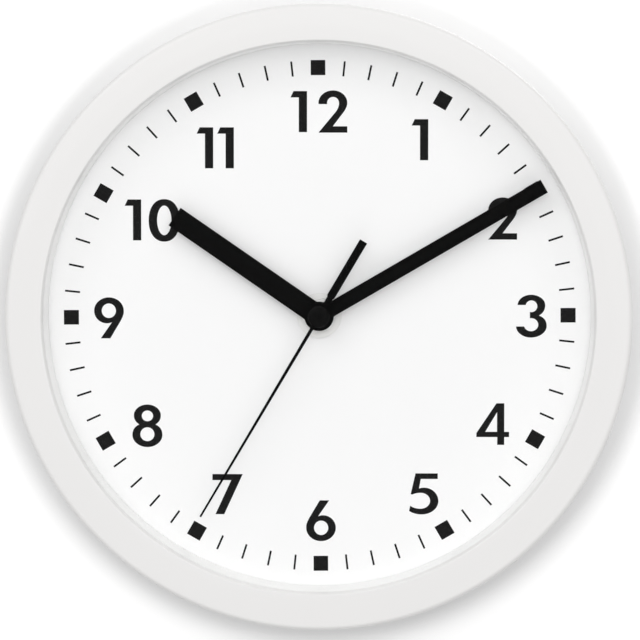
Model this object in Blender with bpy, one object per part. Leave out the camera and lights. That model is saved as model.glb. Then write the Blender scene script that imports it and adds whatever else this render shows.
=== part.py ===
"""A radio-controlled wall clock, 255 mm across, with its two-motor movement. Lengths are in metres.

The pieces are drawn flat, as on a drawing: x to the right, y up, and z out of the wall towards the viewer,
with the hands' axis at x = y = 0 and the wall at z = 0. One parent empty stands them all up, so that the
clock faces -Y and the wall screw's seat in the keyhole is the world's origin.
"""

import math

import bmesh
import bpy

# Fits shared by every piece
SEAT_GAP = 0.0003  # between faces that rest on each other
RUN_GAP = 0.00015  # radial play of a shaft in its hole
SINK = 0.0005  # how far a boss or rib is rooted in its wall
CUT_OVERRUN = 0.001  # how far a cutter passes its wall
MERGE_DISTANCE = 1e-7

# Facets of round things
PIVOT_FACETS = 6
BOSS_FACETS = 8
PIPE_FACETS = 12
ROD_FACETS = 12
WASHER_FACETS = 16
CASE_FACETS = 40

# Bezel, lens and spacer ring
CASE_RADIUS = 0.1275
REAR_TAPER = 0.0025  # radius lost at the edge on the wall
MIDDLE_TAPER_SHARE = 0.33  # of that loss, half-way up the tapered part
SIDE_STRAIGHT = 0.006  # height of the upright part of the side
CORNER_ROUND = 0.0028
LIP_THICKNESS = 0.0007
FACE_RISE = 0.0024  # lip to crest
BEZEL_WALL = 0.0022
INNER_FALL = 0.0005  # of the shell's inside, towards the pocket's rib
POCKET_RIB_THICKNESS = 0.0018
POCKET_RIB_DEPTH = 0.0054
LENS_LAP = 0.0030  # lens under the lip
LENS_INSET = 0.0003  # lens inside the dial's edge
LENS_PLAY = 0.0005
LENS_THICKNESS = 0.0020
SPACER_DEPTH = 0.0124
SPACER_WALL = 0.0015
SPACER_DRAFT = 0.0003
SPACER_SHELF = 0.0004  # how far the spacer's wall stands in from the lip
SPACER_FLANGE = 0.0012
# points of the crowned face: share of its width from the lip, share of its rise
FACE_SHARES = ((0.0, 0.0), (0.04, 0.30), (0.16, 0.50), (0.45, 0.88), (0.72, 1.0), (1.0, 0.86))

# Dial, nut and hands
DIAL_CLEARANCE = 0.00105  # dial's edge to the screw bosses
DIAL_THICKNESS = 0.0020
DIAL_HOLE_PLAY = 0.0004
WASHER_RADIUS = 0.00915
WASHER_THICKNESS = 0.0005
NUT_CORNER_RADIUS = 0.0074
NUT_THICKNESS = 0.0025
NUT_TURN = math.radians(15)
BUSH_RADIUS = 0.0040
BUSH_PROUD = 0.0004  # past the nut
HAND_GAP = 0.0005  # from one hand to the next
HAND_THICKNESS = 0.0006
COLLAR_HEIGHT = 0.0006
HOUR_ANGLE = math.radians(304.4)  # clockwise from 12
HOUR_TIP_GAP = 0.0409  # hand's end to the lip
HOUR_WIDTH = 0.0087
HOUR_HUB_RADIUS = 0.0060
MINUTE_ANGLE = math.radians(60.0)
MINUTE_TIP_GAP = 0.0057
MINUTE_WIDTH = 0.0060
MINUTE_HUB_RADIUS = 0.00555
SECOND_ANGLE = math.radians(210.6)
SECOND_TIP_GAP = 0.0181
SECOND_ROOT_WIDTH = 0.0014
SECOND_TIP_WIDTH = 0.0008
SECOND_THICKNESS = 0.0004
SECOND_HUB_RADIUS = 0.0036
SECOND_TUBE_RADIUS = 0.0013
SECOND_TUBE_HEIGHT = 0.0012
TAIL_LENGTH = 0.0358
TAIL_WIDTH = 0.00335
TAIL_NECK_WIDTH = 0.0025
TAIL_NECK_LENGTH = 0.0095
CAP_RADIUS = 0.00445
CAP_HEIGHT = 0.0016
CAP_EDGE = 0.0004

# Back cover
COVER_RECESS = 0.0024  # behind this lies the wall
COVER_THICKNESS = 0.0022
COVER_PLAY = 0.0005
CLAMP_INSET = 0.0018  # ring that holds the dial forward, inside the dial's edge
CLAMP_RIB_THICKNESS = 0.0016
WINDOW_PLAY = 0.0010
COVER_RIB_THICKNESS = 0.0014
COVER_RIB_HEIGHT = 0.0050
COVER_RIB_COUNT = 6
KEYHOLE_INSET = 0.0244  # wall screw's seat below that ring
KEYHOLE_DROP = 0.0110  # seat down to the entry hole's middle
KEYHOLE_ENTRY_RADIUS = 0.0045
KEYHOLE_SLOT_WIDTH = 0.0050
KEYHOLE_GUARD_MARGIN = 0.0026
KEYHOLE_GUARD_HEIGHT = 0.0040
SCREW_COUNT = 6
SCREW_INSET = 0.0032  # inside the cover's edge
SCREW_SHANK_RADIUS = 0.0009
SCREW_PLAY = 0.0004
SCREW_HEAD_RADIUS = 0.0024
SCREW_HEAD_HEIGHT = 0.0015
HEAD_FLAT_SHARE = 0.7  # of a screw head's radius
SCREW_DEPTH = 0.0090
BOSS_WALL = 0.0012
WEB_THICKNESS = 0.0014

# Movement: cases
MOVEMENT_CLEARANCE = 0.0015  # wall to the movement's back
MOVEMENT_WALL = 0.0014
MOVEMENT_TOP = 0.0330
CHAMBER_BOTTOM = -0.0170
MOVEMENT_CORNER = 0.0030
HEAD_ROOM = 0.0020  # top wheel's face to the front wall
RUBBER_RADIUS = 0.0085
RUBBER_THICKNESS = 0.0008
POST_RADIUS = 0.0020
POST_HOLE_PLAY = 0.0004
POST_FOOT_GAP = 0.0010  # lower posts to the chamber's lower wall
CASE_SCREW_RADIUS = 0.0007
CASE_SCREW_HEAD_RADIUS = 0.0017
CASE_SCREW_HEAD_HEIGHT = 0.0009
CASE_SCREW_DEPTH = 0.0070

# Movement: train plate, board and what is on it
BOARD_THICKNESS = 0.0010
BOARD_INSET = 0.0007  # from the case's inner wall
PLATE_STANDOFF = 0.0012
PLATE_THICKNESS = 0.0012
PLATE_EDGE = 0.0030  # beyond the outermost pivots
PLATE_TOP = 0.0138
PLATE_BOTTOM = -0.0126
PLATE_POST_RADIUS = 0.0016
PLATE_PIN_RADIUS = 0.0007
PLATE_POST_PLACES = ((0.0, 0.0115), (-0.0080, -0.0100), (0.0080, -0.0100))
SUPPORT_RADIUS = 0.0015
SUPPORT_INSET = 0.00225  # support's axis inside the plate's edge
CHIP_SIDE = 0.0070
CHIP_THICKNESS = 0.0012
CHIP_CORNER = 0.0003
CHIP_PLACE = (-0.0120, 0.0180)
CRYSTAL_RADIUS = 0.0010
CRYSTAL_LENGTH = 0.0060
CRYSTAL_EDGE = 0.0002
TIME_CRYSTAL_PLACE = (0.0020, 0.0180)
TUNING_CRYSTAL_PLACE = (0.0110, 0.0180)
CAPACITOR_RADIUS = 0.0025
CAPACITOR_HEIGHT = 0.0070
CAPACITOR_GROOVE = 0.0003
GROOVE_SHARES = (0.17, 0.21, 0.25)  # of the capacitor's height: where its groove starts, is deepest and ends
CAPACITOR_PLACE = (0.0240, -0.0115)
SWITCH_SIDE = 0.0045
SWITCH_BODY = 0.0012
SWITCH_PLUNGER_RADIUS = 0.0012
SWITCH_PLUNGER = 0.0004
BUTTON_RADIUS = 0.0022
BUTTON_PLAY = 0.0003
BUTTON_PROUD = 0.0007
BUTTON_FLANGE_RADIUS = 0.0030
BUTTON_FLANGE = 0.0006
BUTTON_TRAVEL = 0.0005
BUTTON_TOUCH = 0.0002  # left between button and switch when pressed
BUTTON_PITCH = 0.0110
BUTTON_HEIGHT = 0.0235  # above the hands' axis
BUTTON_NAMES = ("reset", "receive", "set")

# Movement: trains. Tooth widths are shares of the tooth pitch
MODULE = 0.0004
WHEEL_THICKNESS = 0.0007
FIRST_LEVEL = 0.0005
LEVEL_PITCH = 0.0017
PINION_OVERLAP = 0.0004
COLLAR_STEP = 2.0  # collar past the cannon's pitch circle, in modules
WHEEL_ADDENDUM_SHARE = 1.0
WHEEL_DEDENDUM_SHARE = 1.3
PINION_ADDENDUM_SHARE = 0.8
PINION_DEDENDUM_SHARE = 1.4
WHEEL_TOOTH_SHARES = (0.30, 0.12)  # half width at the root, at the tip
PINION_TOOTH_SHARES = (0.23, 0.10)
PINION_TEETH = 6
SECONDS_WHEEL_TEETH = 36
SECONDS_INTERMEDIATE_TEETH = 30
MINUTE_WHEEL_TEETH = 36
THIRD_WHEEL_TEETH = 30
MINUTES_INTERMEDIATE_TEETH = 30
CANNON_TEETH = 8
MOTION_WHEEL_TEETH = 24
HOUR_WHEEL_TEETH = 24
SECONDS_TRAIN_ANGLE = math.radians(159.8)
THIRD_ANGLE = math.radians(20.2)
MINUTES_INTERMEDIATE_ANGLE = math.radians(-25.0)
MINUTES_ROTOR_ANGLE = math.radians(60.0)
MOTION_ANGLE = math.radians(250.0)
PIVOT_RADIUS = 0.0004
PIVOT_END = 0.0002  # pivot's end inside the plate's rear face
PIVOT_DEPTH = 0.0010  # pivot's length in its boss
PIVOT_BOSS_RADIUS = 0.0012
STUD_RADIUS = 0.0003
STUD_PLAY = 0.0001
SECOND_ARBOR_RADIUS = 0.0005
MINUTE_PIPE_RADIUS = 0.0016
MINUTE_PIPE_BORE = 0.00065
HOUR_PIPE_RADIUS = 0.0025
HAND_FIT_GAP = 0.00012

# Movement: motors and antenna
MAGNET_RADIUS = 0.0023
MAGNET_LENGTH = 0.0025
MAGNET_PLAY = 0.0005
STATOR_THICKNESS = 0.0008
STATOR_PAD_RADIUS = 0.0044
STATOR_NECK = 0.0020  # the bar's side towards the train, from the rotor
STATOR_ARM_HALF = 0.0130
STATOR_ARM_WIDTH = 0.0040
COIL_ROOM = 0.0021  # between the coils and what they stand beside
CORE_WIDTH = 0.0022
CORE_THICKNESS = 0.0009
COIL_RADIUS = 0.0035
COIL_FLANGE_RADIUS = 0.0040
COIL_FLANGE = 0.0007
COIL_BORE_PLAY = 0.0003
ROD_RADIUS = 0.0040
ROD_LENGTH = 0.0500
ROD_EDGE = 0.0005
ROD_Y = 0.0255
ANTENNA_COIL_PLAY = 0.0003
ANTENNA_COIL_WALL = 0.0009
ANTENNA_COIL_LENGTH = 0.0120
SADDLE_THICKNESS = 0.0014
SADDLE_PLACE_SHARE = 0.72  # along the half length of what the saddles carry
SADDLE_WRAP_SHARE = 0.8  # of the arc under what they carry

# Battery bay
BATTERY_RADIUS = 0.0071
BATTERY_LENGTH = 0.0505
BATTERY_EDGE = 0.0006
NUB_RADIUS = 0.0027
NUB_LENGTH = 0.0012
BAY_PLAY = 0.0005
BAY_FLOOR = 0.0010  # cradle's height under the battery
CONTACT_ROOM = 0.0027
CONTACT_THICKNESS = 0.0004
CONTACT_HEIGHT = 0.0090
CONTACT_WIDTH = 0.0070
CONTACT_BOW_SHARES = (0.5, 0.17)  # of the half height: where the strip leaves the wall, where it touches

# Depths, stacked from the wall forwards
board_standoff = SEAT_GAP + BUTTON_FLANGE + BUTTON_TRAVEL + BUTTON_TOUCH + SWITCH_PLUNGER + SWITCH_BODY + SEAT_GAP
movement_back = MOVEMENT_CLEARANCE
rear_inner = movement_back + MOVEMENT_WALL
board_back = rear_inner + board_standoff
board_front = board_back + BOARD_THICKNESS
plate_back = board_front + PLATE_STANDOFF
plate_front = plate_back + PLATE_THICKNESS
wheel_back = [plate_front + FIRST_LEVEL + level * LEVEL_PITCH for level in range(5)]
wheel_front = [back + WHEEL_THICKNESS for back in wheel_back]
LEVEL_SECONDS_INTERMEDIATE, LEVEL_SECONDS, LEVEL_MINUTE, LEVEL_THIRD, LEVEL_HOUR = range(5)
front_inner = wheel_front[LEVEL_HOUR] + HEAD_ROOM
movement_front = front_inner + MOVEMENT_WALL
rubber_back = movement_front + SEAT_GAP
rubber_front = rubber_back + RUBBER_THICKNESS
dial_back = rubber_front + SEAT_GAP
dial_front = dial_back + DIAL_THICKNESS
spacer_back = dial_front + SEAT_GAP
spacer_front = spacer_back + SPACER_DEPTH
lens_back = spacer_front + SEAT_GAP
lens_front = lens_back + LENS_THICKNESS
lip_back = lens_front + SEAT_GAP
lip_front = lip_back + LIP_THICKNESS
crest = lip_front + FACE_RISE
washer_back = dial_front + SEAT_GAP
washer_front = washer_back + WASHER_THICKNESS
nut_back = washer_front + SEAT_GAP
nut_front = nut_back + NUT_THICKNESS
bush_front = nut_front + BUSH_PROUD
hour_back = bush_front + HAND_GAP
hour_front = hour_back + COLLAR_HEIGHT + HAND_THICKNESS
minute_back = hour_front + HAND_GAP
minute_front = minute_back + COLLAR_HEIGHT + HAND_THICKNESS
second_back = minute_front + HAND_GAP
second_front = second_back + SECOND_TUBE_HEIGHT + SECOND_THICKNESS
cap_back = second_front + SEAT_GAP
cover_back = COVER_RECESS
cover_front = cover_back + COVER_THICKNESS
magnet_back = wheel_back[LEVEL_SECONDS]
magnet_front = magnet_back + MAGNET_LENGTH
stator_back = (magnet_back + magnet_front - STATOR_THICKNESS) / 2
stator_front = stator_back + STATOR_THICKNESS
core_back = stator_front + SEAT_GAP
core_front = core_back + CORE_THICKNESS
pivot_back = plate_back + PIVOT_END
split = plate_back
rod_z = (wheel_back[LEVEL_THIRD] + wheel_front[LEVEL_SECONDS]) / 2

# Radii, from the outside in
rear_radius = CASE_RADIUS - REAR_TAPER
cover_radius = rear_radius - BEZEL_WALL - COVER_PLAY
screw_circle = cover_radius - SCREW_INSET
dial_radius = screw_circle - SCREW_SHANK_RADIUS - RUN_GAP - BOSS_WALL - DIAL_CLEARANCE
lens_radius = dial_radius - LENS_INSET
lip_radius = lens_radius - LENS_LAP
clamp_radius = dial_radius - CLAMP_INSET
clamp_inside = clamp_radius - CLAMP_RIB_THICKNESS
hang_height = clamp_inside - KEYHOLE_INSET
hour_length = lip_radius - HOUR_TIP_GAP
minute_length = lip_radius - MINUTE_TIP_GAP
second_length = lip_radius - SECOND_TIP_GAP

# Places across the dial
bay_half = BATTERY_LENGTH / 2 + CONTACT_ROOM
bay_top = CHAMBER_BOTTOM - MOVEMENT_WALL
battery_y = bay_top - BAY_PLAY - BATTERY_RADIUS
bay_bottom = battery_y - BATTERY_RADIUS - BAY_PLAY
movement_bottom = bay_bottom - MOVEMENT_WALL
battery_z = front_inner - BAY_FLOOR - SEAT_GAP - BATTERY_RADIUS


def centre_distance(one, other):
    """Distance between the axes of two meshing gears, from their teeth."""
    return MODULE * (one + other) / 2


def beside(place, distance, angle):
    """The point at that distance and angle from a place."""
    return place[0] + distance * math.cos(angle), place[1] + distance * math.sin(angle)


AXIS = (0.0, 0.0)
seconds_intermediate_at = beside(AXIS, centre_distance(SECONDS_WHEEL_TEETH, PINION_TEETH), SECONDS_TRAIN_ANGLE)
seconds_rotor_at = beside(
    seconds_intermediate_at, centre_distance(SECONDS_INTERMEDIATE_TEETH, PINION_TEETH), SECONDS_TRAIN_ANGLE
)
third_at = beside(AXIS, centre_distance(MINUTE_WHEEL_TEETH, PINION_TEETH), THIRD_ANGLE)
minutes_intermediate_at = beside(
    third_at, centre_distance(THIRD_WHEEL_TEETH, PINION_TEETH), MINUTES_INTERMEDIATE_ANGLE
)
minutes_rotor_at = beside(
    minutes_intermediate_at, centre_distance(MINUTES_INTERMEDIATE_TEETH, PINION_TEETH), MINUTES_ROTOR_ANGLE
)
motion_at = beside(AXIS, centre_distance(PINION_TEETH, HOUR_WHEEL_TEETH), MOTION_ANGLE)
cannon_module = MODULE * (PINION_TEETH + HOUR_WHEEL_TEETH) / (CANNON_TEETH + MOTION_WHEEL_TEETH)
coil_x = minutes_rotor_at[0] + STATOR_PAD_RADIUS + COIL_ROOM + COIL_FLANGE_RADIUS
movement_half_width = coil_x + COIL_FLANGE_RADIUS + COIL_ROOM + MOVEMENT_WALL
post_x = movement_half_width - MOVEMENT_WALL - SEAT_GAP - POST_RADIUS
post_tops = (
    MOVEMENT_TOP - MOVEMENT_WALL - SEAT_GAP - POST_RADIUS,
    CHAMBER_BOTTOM + MOVEMENT_WALL + POST_FOOT_GAP + POST_RADIUS,
)
post_places = [(side * post_x, y) for side in (-1, 1) for y in post_tops]
support_places = [
    (seconds_rotor_at[0], PLATE_TOP - SUPPORT_INSET),
    (minutes_rotor_at[0], PLATE_TOP - SUPPORT_INSET),
    (minutes_rotor_at[0], PLATE_BOTTOM + SUPPORT_INSET),
    (seconds_rotor_at[0], PLATE_BOTTOM + SUPPORT_INSET),
]
button_places = [((i - 1) * BUTTON_PITCH, BUTTON_HEIGHT) for i in range(len(BUTTON_NAMES))]


# Outlines, as lists of (x, y) points that run anticlockwise
def circle(radius, facets, centre=AXIS, start=0.0):
    """A regular polygon with its corners on the circle."""
    return [beside(centre, radius, start + 2 * math.pi * i / facets) for i in range(facets)]


def rounded_box(left, bottom, right, top, radius, steps=2):
    """A rectangle with its corners rounded by short arcs."""
    corners = ((right, top, 0), (left, top, 1), (left, bottom, 2), (right, bottom, 3))
    points = []
    for x, y, quarter in corners:
        cx = x - radius if x == right else x + radius
        cy = y - radius if y == top else y + radius
        for i in range(steps + 1):
            points.append(beside((cx, cy), radius, (quarter + i / steps) * math.pi / 2))
    return points


def gear(teeth, module=MODULE, pinion=False):
    """Straight-flanked teeth, each with two points at the root and two at the tip."""
    pitch_radius = module * teeth / 2
    addendum = module * (PINION_ADDENDUM_SHARE if pinion else WHEEL_ADDENDUM_SHARE)
    dedendum = module * (PINION_DEDENDUM_SHARE if pinion else WHEEL_DEDENDUM_SHARE)
    root_share, tip_share = PINION_TOOTH_SHARES if pinion else WHEEL_TOOTH_SHARES
    step = 2 * math.pi / teeth
    corners = (
        (pitch_radius - dedendum, -root_share),
        (pitch_radius + addendum, -tip_share),
        (pitch_radius + addendum, tip_share),
        (pitch_radius - dedendum, root_share),
    )
    return [beside(AXIS, radius, (i + share) * step) for i in range(teeth) for radius, share in corners]


def meshing_turn(one_at, other_at, one_teeth, other_teeth, one_turn):
    """The turn that puts the other gear's gap where the first gear has a tooth."""
    line = math.atan2(other_at[1] - one_at[1], other_at[0] - one_at[0])
    return line + math.pi + math.pi / other_teeth - (one_turn - line) * one_teeth / other_teeth


def keyhole(margin=0.0, steps=6):
    """The keyhole: a round entry below, and a slot up to the wall screw's seat."""
    entry_radius = KEYHOLE_ENTRY_RADIUS + margin
    half = KEYHOLE_SLOT_WIDTH / 2 + margin
    entry = (0.0, hang_height - KEYHOLE_DROP)
    seat = (0.0, hang_height)
    meet = math.acos(half / entry_radius)
    around = 2 * math.pi - (math.pi - 2 * meet)
    slot_end = [beside(seat, half, math.pi * i / steps) for i in range(steps + 1)]
    round_part = [beside(entry, entry_radius, math.pi - meet + around * i / (2 * steps)) for i in range(2 * steps + 1)]
    return slot_end + round_part


def blade(length, width, hub_radius, steps=12):
    """A straight hand along +y with a square end and a round hub."""
    half = width / 2
    reach = math.asin(half / hub_radius)
    start = math.pi / 2 + reach
    sweep = 2 * math.pi - 2 * reach
    hub = [beside(AXIS, hub_radius, start + sweep * i / steps) for i in range(steps + 1)]
    return hub + [(half, length), (-half, length)]


def second_blade():
    """The needle along +y, its round hub, and the counterweight tail with a narrower neck."""
    def arc(first, last, steps=4):
        return [beside(AXIS, SECOND_HUB_RADIUS, first + (last - first) * i / steps) for i in range(steps + 1)]

    root = math.asin(SECOND_ROOT_WIDTH / 2 / SECOND_HUB_RADIUS)
    neck = math.asin(TAIL_NECK_WIDTH / 2 / SECOND_HUB_RADIUS)
    left = arc(math.pi / 2 + root, 3 * math.pi / 2 - neck)
    right = arc(-math.pi / 2 + neck, math.pi / 2 - root)
    tail = [
        (-TAIL_NECK_WIDTH / 2, -TAIL_NECK_LENGTH),
        (-TAIL_WIDTH / 2, -TAIL_NECK_LENGTH),
        (-TAIL_WIDTH / 2, -TAIL_LENGTH),
        (TAIL_WIDTH / 2, -TAIL_LENGTH),
        (TAIL_WIDTH / 2, -TAIL_NECK_LENGTH),
        (TAIL_NECK_WIDTH / 2, -TAIL_NECK_LENGTH),
    ]
    tip = [(SECOND_TIP_WIDTH / 2, second_length), (-SECOND_TIP_WIDTH / 2, second_length)]
    return left + tail + right + tip


def saddle(radius, carried_at, floor, half_width, steps=6):
    """A rib across a rod, hollowed to its radius. Points are (z, y), floor being the wall that it stands on."""
    rod_y, rod_z = carried_at
    reach = math.asin(min(1.0, half_width / radius)) * SADDLE_WRAP_SHARE
    hollow = [
        (rod_z + radius * math.cos(angle), rod_y + radius * math.sin(angle))
        for angle in (-reach + 2 * reach * i / steps for i in range(steps + 1))
    ]
    return [(floor, rod_y - half_width), *hollow, (floor, rod_y + half_width)]


# Objects
def wipe():
    """Start from an empty scene."""
    for thing in list(bpy.data.objects):
        bpy.data.objects.remove(thing)


def stand():
    """The parent of every piece: it stands the drawing up and brings the wall screw's seat to the origin."""
    empty = bpy.data.objects.new("hands_axis", None)
    empty.location = (0.0, 0.0, -hang_height)
    empty.rotation_euler = (math.pi / 2, 0.0, 0.0)
    bpy.context.scene.collection.objects.link(empty)
    return empty


def finish(name, colour, roughness, metallic=0.0):
    """A material by name, made once."""
    material = bpy.data.materials.get(name)
    if material is None:
        material = bpy.data.materials.new(name)
        material.use_nodes = True
        shader = material.node_tree.nodes["Principled BSDF"]
        shader.inputs["Base Color"].default_value = (*colour, 1.0)
        shader.inputs["Roughness"].default_value = roughness
        shader.inputs["Metallic"].default_value = metallic
    return material


def place(name, bm, material, at=(0.0, 0.0, 0.0), turned=(0.0, 0.0, 0.0)):
    """Turn a finished bmesh into a named object under the parent empty."""
    bmesh.ops.recalc_face_normals(bm, faces=bm.faces)
    mesh = bpy.data.meshes.new(name)
    bm.to_mesh(mesh)
    bm.free()
    mesh.materials.append(material)
    mesh.shade_smooth()
    mesh.set_sharp_from_angle(angle=math.radians(30))
    thing = bpy.data.objects.new(name, mesh)
    bpy.context.scene.collection.objects.link(thing)
    thing.parent = parent
    thing.location = at
    thing.rotation_euler = turned
    return thing


def stack(name, sections, material, at=(0.0, 0.0, 0.0), turned=(0.0, 0.0, 0.0)):
    """One solid built up along z from (outer outline, hole outlines, back, front) sections that follow each other.

    Where two sections meet, an outline that both hold runs on, and the space between the others is filled.
    """
    bm = bmesh.new()

    def ring(outline, z):
        verts = [bm.verts.new((x, y, z)) for x, y in outline]
        return [bm.edges.new(pair) for pair in zip(verts, verts[1:] + verts[:1])], verts

    def fill(rings):
        edges = [edge for edges, _ in rings for edge in edges]
        if edges:
            bmesh.ops.triangle_fill(bm, use_beauty=True, edges=edges)

    open_rings = {}
    for outer, holes, back, front in sections:
        outlines = [outer, *holes]
        carried = {id(o): open_rings[id(o)] for o in outlines if id(o) in open_rings}
        started = {id(o): ring(o, back) for o in outlines if id(o) not in carried}
        fill([r for key, r in open_rings.items() if key not in carried] + list(started.values()))
        open_rings = {}
        for outline in outlines:
            low = {**carried, **started}[id(outline)][1]
            edges, high = ring(outline, front)
            for i in range(len(low)):
                bm.faces.new((low[i - 1], low[i], high[i], high[i - 1]))
            open_rings[id(outline)] = edges, high
    fill(open_rings.values())
    return place(name, bm, material, at, turned)


def lathe(name, profile, facets, material, at=(0.0, 0.0, 0.0), turned=(0.0, 0.0, 0.0)):
    """A profile of (radius, z) points spun about z. A profile that starts and ends on the axis stays open there."""
    bm = bmesh.new()
    verts = [bm.verts.new((radius, 0.0, z)) for radius, z in profile]
    pairs = list(zip(verts, verts[1:]))
    if profile[0][0] > 0:
        pairs.append((verts[-1], verts[0]))
    edges = [bm.edges.new(pair) for pair in pairs]
    bmesh.ops.spin(
        bm, geom=verts + edges, cent=(0, 0, 0), axis=(0, 0, 1), angle=2 * math.pi, steps=facets, use_merge=True
    )
    bmesh.ops.remove_doubles(bm, verts=bm.verts, dist=MERGE_DISTANCE)
    return place(name, bm, material, at, turned)


def combine(target, tool, operation):
    """Join a tool to the target or cut it out, and hide the tool."""
    modifier = target.modifiers.new(tool.name, "BOOLEAN")
    modifier.operation = operation
    modifier.object = tool
    tool.hide_render = True
    tool.display_type = "WIRE"


def join(target, tool):
    combine(target, tool, "UNION")


def cut(target, tool):
    combine(target, tool, "DIFFERENCE")


# Case
def make_bezel():
    """The white ring: a U-shaped shell open to the rear, with the lens pocket and six screw bosses."""
    corner_radius = CASE_RADIUS - CORNER_ROUND
    face = [
        (lip_radius + across * (corner_radius - lip_radius), lip_front + up * FACE_RISE)
        for across, up in FACE_SHARES
    ]
    corner_z = face[-1][1] - CORNER_ROUND
    corner = [
        (corner_radius + CORNER_ROUND * math.cos(angle), corner_z + CORNER_ROUND * math.sin(angle))
        for angle in (math.radians(45), 0.0)
    ]
    straight_z = corner_z - SIDE_STRAIGHT
    middle = (CASE_RADIUS - REAR_TAPER * MIDDLE_TAPER_SHARE, straight_z / 2)
    pocket_radius = lens_radius + LENS_PLAY
    rib_outside = pocket_radius + POCKET_RIB_THICKNESS
    rib_end = lip_back - POCKET_RIB_DEPTH
    inner_top = crest - BEZEL_WALL
    profile = [
        (lip_radius, lip_back),
        *face,
        *corner,
        (CASE_RADIUS, straight_z),
        middle,
        (rear_radius, 0.0),
        (rear_radius - BEZEL_WALL, 0.0),
        (middle[0] - BEZEL_WALL, middle[1]),
        (CASE_RADIUS - BEZEL_WALL, corner_z - BEZEL_WALL),
        (corner_radius - BEZEL_WALL, inner_top),
        (rib_outside, inner_top - INNER_FALL),
        (rib_outside, rib_end),
        (pocket_radius, rib_end),
        (pocket_radius, lip_back),
    ]
    bezel = lathe("bezel", profile, CASE_FACETS, white_plastic)
    boss_back = cover_front + SEAT_GAP
    boss_front = inner_top + SINK
    hole_front = boss_back + SCREW_DEPTH + CUT_OVERRUN
    hole = circle(SCREW_SHANK_RADIUS + RUN_GAP, PIVOT_FACETS)
    boss = circle(SCREW_SHANK_RADIUS + RUN_GAP + BOSS_WALL, BOSS_FACETS, start=math.pi / BOSS_FACETS)
    wall_middle = rear_radius - BEZEL_WALL / 2 + REAR_TAPER * (1 - MIDDLE_TAPER_SHARE) * boss_back / middle[1]
    web = [
        (screw_circle + SCREW_SHANK_RADIUS + BOSS_WALL, boss_back),
        (wall_middle, boss_back),
        (middle[0] - BEZEL_WALL / 2, middle[1]),
        (CASE_RADIUS - BEZEL_WALL / 2, straight_z),
        (screw_circle + SCREW_SHANK_RADIUS + BOSS_WALL, straight_z),
    ]
    for i, angle in enumerate(screw_angles()):
        at = (*beside(AXIS, screw_circle, angle), 0.0)
        join(bezel, stack(
            f"bezel_boss_{i}",
            [(boss, [hole], boss_back, hole_front), (boss, [], hole_front, boss_front)],
            white_plastic, at,
        ))
        join(bezel, stack(
            f"bezel_web_{i}", [(web, [], -WEB_THICKNESS / 2, WEB_THICKNESS / 2)], white_plastic,
            turned=(math.pi / 2, 0.0, angle),
        ))
    return bezel


def screw_angles():
    """Six screws, none of them over the keyhole."""
    return [2 * math.pi * i / SCREW_COUNT for i in range(SCREW_COUNT)]


def make_lens():
    stack("lens", [(circle(lens_radius, CASE_FACETS), [], lens_back, lens_front)], clear_lens)


def make_spacer_ring():
    """The channel-shaped ring that shows as the dial's inner wall and presses lens and dial apart."""
    inside_front = lip_radius - SPACER_SHELF + SPACER_DRAFT
    inside_back = lip_radius - SPACER_SHELF
    profile = [
        (inside_front, spacer_front),
        (lens_radius, spacer_front),
        (lens_radius, spacer_front - SPACER_FLANGE),
        (inside_front + SPACER_WALL, spacer_front - SPACER_FLANGE),
        (inside_back + SPACER_WALL, spacer_back + SPACER_FLANGE),
        (dial_radius - SEAT_GAP, spacer_back + SPACER_FLANGE),
        (dial_radius - SEAT_GAP, spacer_back),
        (inside_back, spacer_back),
    ]
    lathe("spacer_ring", profile, CASE_FACETS, white_plastic)


def make_dial():
    hole = circle(BUSH_RADIUS + DIAL_HOLE_PLAY, PIPE_FACETS)
    stack("dial_plate", [(circle(dial_radius, CASE_FACETS), [hole], dial_back, dial_front)], dial_white)


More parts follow.
